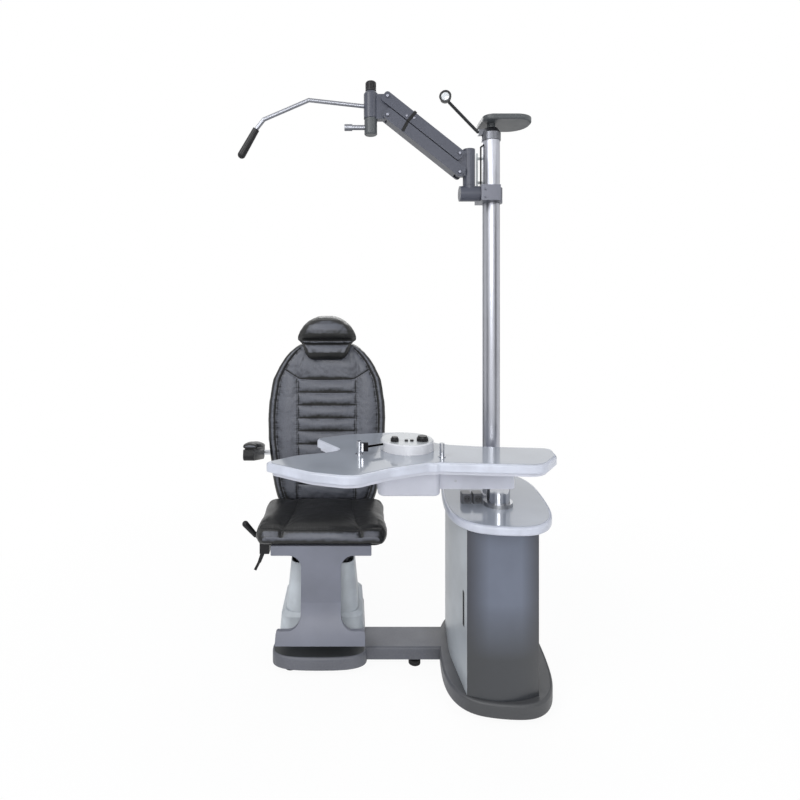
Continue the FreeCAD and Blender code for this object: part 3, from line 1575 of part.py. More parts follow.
def lamp_head():
    start, end = neck_route()
    ball = end + (end - start).normalize() * lamp_ball_radius * 0.8
    facing = lamp_direction()
    front = ball + facing * lamp_depth
    back = ball + facing * lamp_ball_radius * 0.75
    bowl = cone(lamp_radius * 0.6, lamp_radius, back, back + facing * lamp_depth * 0.35)
    barrel = rod(lamp_radius, back + facing * lamp_depth * 0.35, front)
    shape = fuse(bowl, barrel)
    shape = shape.cut(Part.makeSphere(lamp_ball_radius + body_gap, ball))
    return shape.cut(rod(lamp_radius - lamp_wall, front - facing * lamp_depth * 0.45,
                         front + facing * overrun))


def lamp_lens():
    start, end = neck_route()
    ball = end + (end - start).normalize() * lamp_ball_radius * 0.8
    facing = lamp_direction()
    front = ball + facing * (lamp_depth - lamp_wall / 2)
    return rod(lamp_radius - lamp_wall, front - facing * lens_thickness, front)


def column_clamp():
    """The split clamp on the column and the horizontal barrel that carries the arm."""
    front = arm_y - clamp_half_y
    barrel_radius = (bracket_top - bracket_bottom) / 2
    black_start = hub_x + barrel_radius + hub_pin_radius
    clamp = box(black_start, column_x + column_radius / 2, front, column_y + clamp_half_y,
                bracket_bottom, bracket_top)
    wrap = rod(column_radius + guide_wall * 1.5, V(column_x, column_y, bracket_bottom),
               V(column_x, column_y, bracket_top))
    clamp = fuse(clamp, wrap)
    return clamp.cut(rod(column_radius, V(column_x, column_y, bracket_bottom - overrun),
                         V(column_x, column_y, bracket_top + overrun)))


def arm_bracket():
    """The fixed blue-grey barrel in front of the clamp, with the hub's pin."""
    middle = (bracket_bottom + bracket_top) / 2
    radius = (bracket_top - bracket_bottom) / 2
    black_start = hub_x + radius + hub_pin_radius
    barrel = rod(radius, V(bracket_left, arm_y, middle), V(black_start, arm_y, middle))
    pin = rod(hub_pin_radius, V(hub_x, arm_y, middle), V(hub_x, arm_y, hub_top - hub_pin_radius))
    washer = rod(hub_radius, V(hub_x, arm_y, middle), V(hub_x, arm_y, hub_bottom - body_gap))
    return fuse(barrel, washer, pin)


def clamp_screws():
    """Two socket screws that close the clamp, heads towards the front."""
    screws = []
    quarter = (bracket_top - bracket_bottom) / 4
    for side in (-1, 1):
        z = (bracket_bottom + bracket_top) / 2 + side * quarter
        x = column_x - column_radius - guide_wall
        y = arm_y - clamp_half_y
        screws.append(rod(link_pin_radius, V(x, y - link_pin_head_height * 2, z), V(x, y, z)))
    return Part.makeCompound(screws)


def link_vector():
    return V(pivot_left_x - pivot_right_x, 0, pivot_rise)


def arm_hub():
    """The turning cylinder with the lugs that hold the two right-hand pivots."""
    axis = lambda z: V(hub_x, arm_y, z)
    drum = rod(hub_radius, axis(hub_bottom), axis(hub_top))
    low = pivot_low_z - lug_margin
    high = pivot_low_z + pivot_spacing + lug_margin
    points = [(pivot_right_x - lug_margin, low), (hub_x, low), (hub_x, high),
              (pivot_right_x - lug_margin, high)]
    face = Part.Face(rounded_wire(points, [lug_margin, 0, 0, lug_margin], upright(arm_y - lug_half_y)))
    lug = face.extrude(V(0, 2 * lug_half_y, 0))
    hub = fuse(drum, lug)
    hub = hub.cut(rod(hub_pin_radius + running_gap, axis(hub_bottom - overrun),
                      axis(hub_top - hub_pin_radius + body_gap)))
    for n in (0, 1):
        z = pivot_low_z + n * pivot_spacing
        hub = hub.cut(rod(link_pin_radius + running_gap, V(pivot_right_x, arm_y - link_half_y, z),
                          V(pivot_right_x, arm_y + link_half_y, z)))
    return hub


def arm_head():
    """The upright cylinder at the arm's free end, with lugs for the two left-hand pivots."""
    axis = lambda z: V(head_x, arm_y, z)
    drum = rod(head_radius, axis(head_bottom), axis(head_top - head_chamfer))
    crown = cone(head_radius, head_radius - head_chamfer * 0.7, axis(head_top - head_chamfer), axis(head_top))
    low_z = pivot_low_z + pivot_rise - lug_margin
    high_z = low_z + pivot_spacing + 2 * lug_margin
    points = [(head_x, low_z), (pivot_left_x + lug_margin, low_z), (pivot_left_x + lug_margin, high_z),
              (head_x, high_z)]
    face = Part.Face(rounded_wire(points, [0, lug_margin, lug_margin, 0], upright(arm_y - lug_half_y)))
    lug = face.extrude(V(0, 2 * lug_half_y, 0))
    head = fuse(drum, crown, lug)
    head = head.cut(rod(spindle_pin_radius + running_gap, axis(head_bottom - overrun),
                        axis(head_top + overrun)))
    for n in (0, 1):
        z = pivot_low_z + pivot_rise + n * pivot_spacing
        head = head.cut(rod(link_pin_radius + running_gap, V(pivot_left_x, arm_y - link_half_y, z),
                            V(pivot_left_x, arm_y + link_half_y, z)))
    turning = rod(spindle_radius + body_gap, axis(head_bottom - 2 * lug_margin), axis(head_bottom))
    return head.cut(turning)


def link_frame(along, across, z):
    """A point on a link: along it from its right pivot, and across it, upwards positive."""
    unit = link_vector().normalize()
    up = V(-unit.z, 0, unit.x) * -1
    return V(pivot_right_x, arm_y, z) + unit * along + up * across


def link_profile(start, end, low, high, z, y):
    corners = []
    for along, across in ((start, low), (end, low), (end, high), (start, high)):
        point = link_frame(along, across, z)
        corners.append((point.x, point.z))
    return corners


def link_channel(z, low, high, half_y, open_low):
    """A folded sheet channel around two pivots, open below or above."""
    length = link_vector().Length
    margin = link_margin - body_gap
    rounding = margin * 0.8
    outer_points = link_profile(-margin, length + margin, low, high, z, arm_y)
    outer = Part.Face(rounded_wire(outer_points, rounding, upright(arm_y - half_y))).extrude(V(0,
            2 * half_y, 0))
    wall = link_wall
    if open_low:
        inner_low, inner_high = low - overrun * 4, high - wall
    else:
        inner_low, inner_high = low + wall, high + overrun * 4
    inner_points = link_profile(-margin - overrun * 4, length + margin + overrun * 4, inner_low,
                                inner_high, z, arm_y)
    inner = Part.Face(rounded_wire(inner_points, 0, upright(arm_y - half_y + wall))).extrude(V(0,
            2 * (half_y - wall), 0))
    channel = outer.cut(inner)
    for start, end in ((-margin - overrun, lug_notch), (length - lug_notch, length + margin + overrun)):
        notch_points = link_profile(start, end, low - overrun, high + overrun, z, arm_y)
        notch_front = arm_y - lug_half_y - body_gap
        notch = Part.Face(rounded_wire(notch_points, 0, upright(notch_front)))
        channel = channel.cut(notch.extrude(V(0, 2 * (lug_half_y + body_gap), 0)))
    for x in (0.0, length):
        at = link_frame(x, 0.0, z)
        channel = channel.cut(rod(link_pin_radius + running_gap, V(at.x, arm_y - half_y - overrun, at.z),
                                  V(at.x, arm_y + half_y + overrun, at.z)))
    return channel


def normal_spacing():
    unit = link_vector().normalize()
    return pivot_spacing * abs(unit.x)


def upper_link():
    """The wide channel on the upper pivots, open below."""
    drop = normal_spacing() * link_reach_share
    return link_channel(pivot_low_z + pivot_spacing, -drop, link_margin, link_half_y, True)


def lower_link():
    """The channel on the lower pivots, open above, its walls inside the upper one's."""
    rise = normal_spacing() * link_reach_share
    return link_channel(pivot_low_z, -link_margin, rise, link_half_y, False)


def link_pin(x, z):
    y = arm_y
    half = link_half_y
    shaft = rod(link_pin_radius, V(x, y - half, z), V(x, y + half, z))
    front = rod(link_pin_head, V(x, y - half - link_pin_head_height, z), V(x, y - half, z))
    back = rod(link_pin_head, V(x, y + half, z), V(x, y + half + link_pin_head_height, z))
    return fuse(shaft, front, back)


def link_pins(x, low_z):
    return [link_pin(x, low_z), link_pin(x, low_z + pivot_spacing)]


def balance_spring():
    """The gas strut that balances the arm, held between two cross pins of the upper channel."""
    z = pivot_low_z + pivot_spacing
    length = link_vector().Length
    start = link_frame(length * 0.2, -link_margin * 0.4, z)
    middle = link_frame(length * 0.55, -link_margin * 0.4, z)
    end = link_frame(length * 0.8, -link_margin * 0.4, z)
    barrel = rod(spring_radius, start, middle)
    piston = rod(spring_radius * 0.45, middle, end)
    pins = []
    half = link_half_y - link_wall
    for at in (start, end):
        pins.append(rod(link_pin_radius * 0.8, V(at.x, arm_y - half, at.z), V(at.x, arm_y + half, at.z)))
    return fuse(barrel, piston, *pins)


def head_spindle():
    """The lower cylinder on a pin through the head, which carries the instrument pin."""
    axis = lambda z: V(head_x, arm_y, z)
    top = head_bottom - body_gap
    body = rod(spindle_radius, axis(top - spindle_height), axis(top))
    body = body.makeChamfer(head_chamfer / 3, edges_at(body, top - spindle_height))
    pin = rod(spindle_pin_radius, axis(top), axis(head_top + knob_gap / 2))
    return fuse(body, pin)


def instrument_pin():
    """The horizontal bar that a lens unit hangs from, with a thicker end."""
    end = V(instrument_pin_end, arm_y, instrument_pin_z)
    bar = rod(instrument_pin_radius, V(head_x, arm_y, instrument_pin_z), end)
    tip = rod(instrument_pin_tip_radius, end, end + X_AXIS * instrument_pin_tip_length)
    body = rod(spindle_radius, V(head_x, arm_y, head_bottom - spindle_height - overrun),
               V(head_x, arm_y, head_bottom))
    return fuse(bar, tip).cut(body)


def lock_knob():
    base = head_top + knob_gap
    at = V(head_x, arm_y, base)
    knob = rod(knob_radius, at, at + Z_AXIS * knob_height * 0.86)
    cap = cone(knob_radius, knob_radius * 0.82, at + Z_AXIS * knob_height * 0.86, at + Z_AXIS * knob_height)
    knob = knob.fuse(cap)
    for n in range(knob_flutes):
        turn = 2 * math.pi * n / knob_flutes
        edge = at + V(knob_radius * math.cos(turn), knob_radius * math.sin(turn), knob_height * 0.2)
        knob = knob.cut(rod(knob_flute_radius, edge, edge + Z_AXIS * knob_height))
    return knob


def handle_points():
    """The pull handle's bends from the head to its tip, in shares of its height over the tip."""
    reach = head_x
    tops_shares = ((-0.05, 0.0), (-1.21, 0.13), (-2.09, -0.25), (-2.24, -0.44), (-2.53, -0.95))
    rise = head_x
    return [V(reach + x * reach, arm_y, handle_root_z + z * rise) for x, z in tops_shares]


def bent_rod(points, radius):
    """Straight runs with round bends: a sphere fills each knee."""
    parts = [rod(radius, a, b) for a, b in zip(points, points[1:])]
    parts += [Part.makeSphere(radius, p) for p in points[1:-1]]
    return fuse(*parts)


def pull_handle():
    points = handle_points()[:4]
    shape = bent_rod(points, handle_radius)
    drum = rod(head_radius, V(head_x, arm_y, head_bottom), V(head_x, arm_y, head_top))
    return shape.cut(drum)


def handle_grip():
    points = handle_points()
    direction = (points[4] - points[3]).normalize()
    start = points[3]
    end = start + direction * grip_length
    grip = cone(grip_radius * 0.85, grip_radius, start, end)
    cap = Part.makeSphere(grip_radius, end)
    shape = fuse(grip, cap)
    knee = Part.makeSphere(handle_radius, start)
    run = rod(handle_radius, points[2], start)
    return shape.cut(knee).cut(run)


def arm_cable():
    """The lead clipped beside the hub, from the column down to the clamp."""
    x = column_x - column_radius - cable_stand_off
    y = column_y - cable_stand_off
    high = hub_top + hub_radius * 1.5
    low = bracket_top
    bend = cable_stand_off
    top = V(column_x - column_radius * 0.7, y, high)
    line = rod(cable_radius, V(x, y, low), V(x, y, high - bend * 1.5))
    knee = Part.makeSphere(cable_radius, V(x, y, high - bend * 1.5))
    rise = rod(cable_radius, V(x, y, high - bend * 1.5), top)
    column = rod(column_radius, V(column_x, column_y, low - overrun),
                 V(column_x, column_y, high + 4 * overrun))
    return fuse(line, knee, rise).cut(column)


def cable_grommet():
    y = column_y - cable_stand_off
    high = hub_top + hub_radius * 1.5
    at = V(column_x - column_radius * 0.7, y, high)
    ball = Part.makeSphere(cable_radius * 2.2, at)
    column = rod(column_radius, V(column_x, column_y, high - 4 * overrun),
                 V(column_x, column_y, high + 4 * overrun))
    x = column_x - column_radius - cable_stand_off
    rise = rod(cable_radius, V(x, y, high - cable_stand_off * 1.5), at)
    return ball.cut(column).cut(rise)


def stand_nodes():
    yield "base_casting", floor_base()
    yield "levelling_feet", levelling_feet()
    yield "pedestal_lower_cover", pedestal_lower_cover()
    yield "pedestal_upper_cover", pedestal_upper_cover()
    yield "chair_lift_guide", Part.makeCompound([chair_lift_outer(), chair_motor()])
    yield "console_cabinet", Part.makeCompound([console_cabinet(), side_vent()])
    yield "console_front_panel", console_front_panel()
    yield "console_top", console_top()
    yield "console_top_inlay", console_inlay()
    yield "power_supply", Part.makeCompound([power_supply(), mains_inlet()])
    yield "table_lift_guide", Part.makeCompound([lift_guide(), table_motor()])
    yield "main_column", Part.makeCompound([main_column(), column_collar()])
    yield "column_cap", Part.makeCompound([column_cap(), neck_socket()])
    yield "instrument_tray", instrument_tray().fuse(tray_post())
    yield "socket_block", socket_block()
    yield "gooseneck", Part.makeCompound([gooseneck(), lamp_joint()])
    yield "column_clamp", Part.makeCompound([column_clamp(), clamp_screws()])
    yield "arm_bracket", arm_bracket()
    yield "arm_cable", Part.makeCompound([arm_cable(), cable_grommet()])


def chair_nodes():
    yield "chair_lift_column", Part.makeCompound([chair_lift_inner(), chair_carriage(), chair_ram(),
                                                  swivel_bearing()])
    yield "seat_frame", Part.makeCompound([seat_frame(), swivel_plate(), footrest_brackets(),
                                           lever_bearings()])
    yield "seat_pan", seat_skirt()
    yield "seat_cushion", seat_cushion()
    yield "footrest_panel", footrest_panel()
    yield "footrest_step", Part.makeCompound([footrest_step(), footrest_mat()])
    yield "recline_hinge", recline_hinge()
    yield "backrest_shell", backrest_shell()
    yield "backrest_cushion", backrest_cushion()
    yield "armrest_carrier", armrest_carrier()
    yield "headrest_posts", Part.makeCompound([headrest_posts()])
    yield "headrest_cushion", headrest_cushion()
    for name, side in (("left", -1), ("right", 1)):
        yield "armrest_bracket_" + name, armrest_bracket(side)
        yield "armrest_pad_" + name, armrest_pad(side)
    yield "recline_lever", recline_lever()
    yield "recline_lever_grip", recline_grip()
    yield "lock_lever", fuse(lock_lever(), lock_paddle())


def table_nodes():
    yield "table_lift_tube", Part.makeCompound([table_lift_tube(), table_ram(), table_bearing()])
    yield "table_arm_housing", fuse(table_arm(), table_hub())
    yield "table_support_plate", fuse(table_support(), table_pivot())
    yield "tabletop", tabletop()
    yield "tabletop_inlay", tabletop_inlay()
    yield "table_posts", Part.makeCompound([left_post(), right_post(), post_link()])
    yield "control_puck", puck_body()
    yield "puck_dial_large", dial(dial_x, dial_y, dial_radius, dial_height)
    yield "puck_dial_small", dial(small_dial_x, small_dial_y, small_dial_radius, small_dial_height)
    yield "puck_button_left", puck_button(0)
    yield "puck_button_right", puck_button(1)


def arm_nodes():
    yield "arm_hub", Part.makeCompound([arm_hub()] + link_pins(pivot_right_x, pivot_low_z))
    yield "arm_upper_link", upper_link()
    yield "arm_lower_link", lower_link()
    yield "balance_spring", balance_spring()
    yield "arm_head", Part.makeCompound([arm_head()] + link_pins(pivot_left_x, pivot_low_z + pivot_rise))
    yield "pull_handle", pull_handle()
    yield "handle_grip", handle_grip()
    yield "lock_knob", lock_knob()
    yield "head_spindle", head_spindle()
    yield "instrument_pin", instrument_pin()
    yield "lamp_head", Part.makeCompound([lamp_head(), lamp_lens()])


def nodes():
    for group in (stand_nodes, chair_nodes, table_nodes, arm_nodes):
        yield from group()


def write_parts():
    os.makedirs("parts", exist_ok=True)
    for name, shape in nodes():
        print(name, len(shape.Solids), "solids, valid:", shape.isValid())
        shape.exportStep("parts/" + name + ".step")


write_parts()
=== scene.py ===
import json
import math

import bmesh
import bpy
import numpy as np
from mathutils import Matrix, Vector, noise
from mathutils.bvhtree import BVHTree


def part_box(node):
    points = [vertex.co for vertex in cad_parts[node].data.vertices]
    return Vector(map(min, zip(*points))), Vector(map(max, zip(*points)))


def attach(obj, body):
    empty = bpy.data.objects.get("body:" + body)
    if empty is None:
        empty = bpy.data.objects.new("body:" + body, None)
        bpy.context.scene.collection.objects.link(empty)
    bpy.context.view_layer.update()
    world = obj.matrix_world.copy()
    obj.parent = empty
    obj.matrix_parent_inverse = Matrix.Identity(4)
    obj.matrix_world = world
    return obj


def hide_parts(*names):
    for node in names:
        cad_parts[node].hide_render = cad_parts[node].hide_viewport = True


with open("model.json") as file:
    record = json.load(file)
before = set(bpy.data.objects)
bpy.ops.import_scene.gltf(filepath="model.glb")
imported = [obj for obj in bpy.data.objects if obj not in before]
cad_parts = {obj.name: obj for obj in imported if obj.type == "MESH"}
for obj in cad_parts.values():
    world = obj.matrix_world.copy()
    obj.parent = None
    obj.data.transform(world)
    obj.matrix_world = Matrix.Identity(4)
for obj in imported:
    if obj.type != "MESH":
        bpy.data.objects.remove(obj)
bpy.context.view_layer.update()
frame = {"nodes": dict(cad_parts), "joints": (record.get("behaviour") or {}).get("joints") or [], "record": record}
nodes = frame["nodes"]
JOINT_PLACES = {joint["name"]: Vector(joint["pos_m"]) for joint in frame["joints"] if "pos_m" in joint}
NODE_SLOTS = {entry["node"]: entry["material_slot"] for entry in frame["record"]["subparts"]}

# Camera, floor and light. Places and sizes are in metres

CAMERA_PLACE = (0.116, -2.170, 1.350)
SENSOR_WIDTH = 36.0
FOCAL_LENGTH = 23.85
# The view window is shifted against the level line of sight by these pixels of an 800 pixel frame
FRAME_PIXELS = 800.0
SHIFT_PIXELS = (48.0, -95.0)

WHITE = (1.0, 1.0, 1.0, 1.0)
SKY_COLOUR = (0.93, 0.96, 1.0, 1.0)
SKY_STRENGTH = 0.42
FLOOR_HALF = 30.0
FLOOR_COLOUR = (0.9, 0.9, 0.9, 1.0)
# The floor is nearly white round its middle, where the shadow shows, and wholly white far off
FLOOR_MIDDLE = (0.3, -0.1, 0.0)
WHITENING_RADII = (0.8, 2.2)
WHITENING_SHARES = (0.94, 1.0)
CARD_COLOUR = (0.012, 0.012, 0.014, 1.0)

# Each lamp's place, aim, size and power
LAMPS = {
    "key": ((-2.6, -3.2, 4.0), (0.2, -0.1, 0.9), (2.4, 2.4), 120.0),
    "fill": ((3.2, -2.6, 2.4), (0.3, -0.1, 0.8), (1.8, 2.4), 42.0),
    "rim": ((0.6, 3.4, 3.6), (0.2, 0.0, 1.0), (3.0, 1.6), 60.0),
    "front": ((0.1, -3.6, 2.0), (0.0, 0.1, 0.8), (1.6, 1.0), 36.0),
}
# Each dark card's lower corner and the upper corner across from it
CARDS = {
    "card_left": ((-3.4, -1.2, 0.0), (-2.2, -3.0, 3.4)),
    "card_right": ((3.6, -1.6, 0.0), (2.6, -3.2, 3.4)),
    "card_back_left": ((-3.2, 2.4, 0.0), (-2.0, 3.2, 3.2)),
    "card_back_right": ((3.4, 2.2, 0.0), (2.4, 3.2, 3.2)),
}

scene = bpy.context.scene
scene.view_settings.view_transform = "Standard"


def make_camera():
    """A level camera that looks along +Y, with its view window shifted."""
    data = bpy.data.cameras.new("photo_camera")
    data.sensor_width = SENSOR_WIDTH
    data.lens = FOCAL_LENGTH
    data.shift_x = SHIFT_PIXELS[0] / FRAME_PIXELS
    data.shift_y = SHIFT_PIXELS[1] / FRAME_PIXELS
    camera = bpy.data.objects.new("photo_camera", data)
    scene.collection.objects.link(camera)
    camera.location = CAMERA_PLACE
    camera.rotation_euler = (math.radians(90.0), 0.0, 0.0)
    scene.camera = camera


def seen_rays(tree):
    """1 for the rays that see a background: from the camera, a mirror or through glass."""
    path = tree.nodes.new("ShaderNodeLightPath")
    total = path.outputs["Is Camera Ray"]
    for ray in ("Is Glossy Ray", "Is Transmission Ray"):
        most = tree.nodes.new("ShaderNodeMath")
        most.operation = "MAXIMUM"
        tree.links.new(total, most.inputs[0])
        tree.links.new(path.outputs[ray], most.inputs[1])
        total = most.outputs[0]
    return total


def show_mix(tree, share, first, second, output):
    """Shows one shader where the share is 0 and another where it is 1."""
    mix = tree.nodes.new("ShaderNodeMixShader")
    out = tree.nodes.new(output)
    tree.links.new(share, mix.inputs[0])
    tree.links.new(first.outputs[0], mix.inputs[1])
    tree.links.new(second.outputs[0], mix.inputs[2])
    tree.links.new(mix.outputs[0], out.inputs[0])


def make_world():
    """A faint bluish light all round, which itself is seen as white."""
    world = bpy.data.worlds.new("studio")
    scene.world = world
    world.use_nodes = True
    tree = world.node_tree
    tree.nodes.clear()
    light = tree.nodes.new("ShaderNodeBackground")
    light.inputs["Color"].default_value = SKY_COLOUR
    light.inputs["Strength"].default_value = SKY_STRENGTH
    white = tree.nodes.new("ShaderNodeBackground")
    white.inputs["Color"].default_value = WHITE
    white.inputs["Strength"].default_value = 1.0
    show_mix(tree, seen_rays(tree), light, white, "ShaderNodeOutputWorld")


def flat_object(name, corners):
    """A four-cornered face with a material of its own, and that material's tree."""
    mesh = bpy.data.meshes.new(name)
    mesh.from_pydata(corners, [], [(0, 1, 2, 3)])
    obj = bpy.data.objects.new(name, mesh)
    scene.collection.objects.link(obj)
    material = bpy.data.materials.new(name)
    material.use_nodes = True
    mesh.materials.append(material)
    return obj, material.node_tree


def make_floor():
    """A white floor, wholly white far off, on which only a soft shadow shows near the object."""
    half = FLOOR_HALF
    corners = [(-half, -half, 0), (half, -half, 0), (half, half, 0), (-half, half, 0)]
    floor, tree = flat_object("floor", corners)
    tree.nodes.clear()
    shade = tree.nodes.new("ShaderNodeBsdfDiffuse")
    shade.inputs["Color"].default_value = FLOOR_COLOUR
    white = tree.nodes.new("ShaderNodeEmission")
    white.inputs["Strength"].default_value = 1.0
    spot = tree.nodes.new("ShaderNodeNewGeometry")
    away = tree.nodes.new("ShaderNodeVectorMath")
    away.operation = "DISTANCE"
    away.inputs[1].default_value = FLOOR_MIDDLE
    rise = tree.nodes.new("ShaderNodeMapRange")
    for end, radius, share in zip(("Min", "Max"), WHITENING_RADII, WHITENING_SHARES):
        rise.inputs["From " + end].default_value = radius
        rise.inputs["To " + end].default_value = share
    seen = tree.nodes.new("ShaderNodeMath")
    seen.operation = "MULTIPLY"
    tree.links.new(spot.outputs["Position"], away.inputs[0])
    tree.links.new(away.outputs["Value"], rise.inputs["Value"])
    tree.links.new(seen_rays(tree), seen.inputs[0])
    tree.links.new(rise.outputs["Result"], seen.inputs[1])
    show_mix(tree, seen.outputs[0], shade, white, "ShaderNodeOutputMaterial")


def area_light(name, place, aim, size, power):
    data = bpy.data.lights.new(name, "AREA")
    data.shape = "RECTANGLE"
    data.size, data.size_y = size
    data.energy = power
    lamp = bpy.data.objects.new(name, data)
    scene.collection.objects.link(lamp)
    lamp.location = place
    lamp.rotation_euler = (Vector(aim) - Vector(place)).to_track_quat("-Z", "Y").to_euler()


def dark_card(name, low, high):
    """A black studio card, seen only in reflections."""
    corners = [low, (high[0], high[1], low[2]), high, (low[0], low[1], high[2])]
    card, tree = flat_object(name, corners)
    shader = tree.nodes["Principled BSDF"]
    shader.inputs["Base Color"].default_value = CARD_COLOUR
    shader.inputs["Roughness"].default_value = 1.0
    shader.inputs["Specular IOR Level"].default_value = 0.0
    card.visible_camera = False
    card.visible_diffuse = False
    card.visible_shadow = False
    card.visible_transmission = False


make_camera()
make_world()
make_floor()
for lamp_name, (lamp_place, lamp_aim, lamp_size, lamp_power) in LAMPS.items():
    area_light(lamp_name, lamp_place, lamp_aim, lamp_size, lamp_power)
for card_name, (card_low, card_high) in CARDS.items():
    dark_card(card_name, card_low, card_high)

# Materials. Colours are levels from 0 to 255 as they look on screen

# How far a texture is stretched along each axis for lines along Z
NO_LINES = (1.0, 1.0, 1.0)
GROUND_LINES = (1.0, 1.0, 0.06)
DRAWN_LINES = (1.0, 1.0, 0.05)
DIE_LINES = (1.0, 1.0, 0.012)

MASK_SAMPLES = 3
EDGE_SAMPLES = 4
# A surface's own normal against the rounded one, from flat to a full edge
EDGE_TURN = (0.97, 0.8)
PAINT_EDGE = 0.0012
MOULDED_EDGE = 0.0008
METAL_EDGE = 0.0006
DARK_LEVEL = 40
DARK_SPECULAR = 0.3
DUST_COLOUR = (168, 166, 160)
DUST_HEIGHT = 0.16
PORE_SCALE = 620.0
# The backrest's own front: leather that faces it gets a painted sheen, lighter as if lit from the front
SHEEN_FACING_SIDE = (0.0, -0.94, 0.34)
CHROME = {"colour": (192, 194, 200), "rough": 0.09, "stretch": DRAWN_LINES, "streak": 0.12, "depth": 0.02}
HIDE = {"colour": (19, 20, 21), "sheen_colour": (28, 29, 32)}

# Where a finish changes on its node, in metres. A blur is the width of a sharp change
SHARP_BLUR = 0.0002
# Where the front panel's painted shade darkens it towards both sides and low down
PANEL_LEFT_SHADE = (0.56, 0.5)
PANEL_RIGHT_SHADE = (0.665, 0.725)
PANEL_LOW_SHADE = (0.38, 0.2)
BASE_CONSOLE_FADE = (0.38, 0.50)
# Where the painted shadow under the foot step lies on the base's toe
TOE_SHADOW_RIGHT = (0.168, 0.160)
TOE_SHADOW_BACK = (-0.13, -0.14)
CLAMP_BLACK = (0.1530, 0.3000)
PUCK_PLATE_FADE = (0.8834, 0.8838)
VENT_ALONG_Y = (-0.4044, -0.3856)
VENT_ALONG_Z = (0.2750, 0.3930)
VENT_WALL_X = 0.5


def linear(red, green, blue):
    """A colour as it looks on screen, 0 to 255, in the shader's linear values."""
    values = []
    for level in (red, green, blue):
        share = level / 255.0
        values.append(share / 12.92 if share <= 0.04045 else ((share + 0.055) / 1.055) ** 2.4)
    return (*values, 1.0)


def scaled(colour, share):
    return tuple(level * share for level in colour)


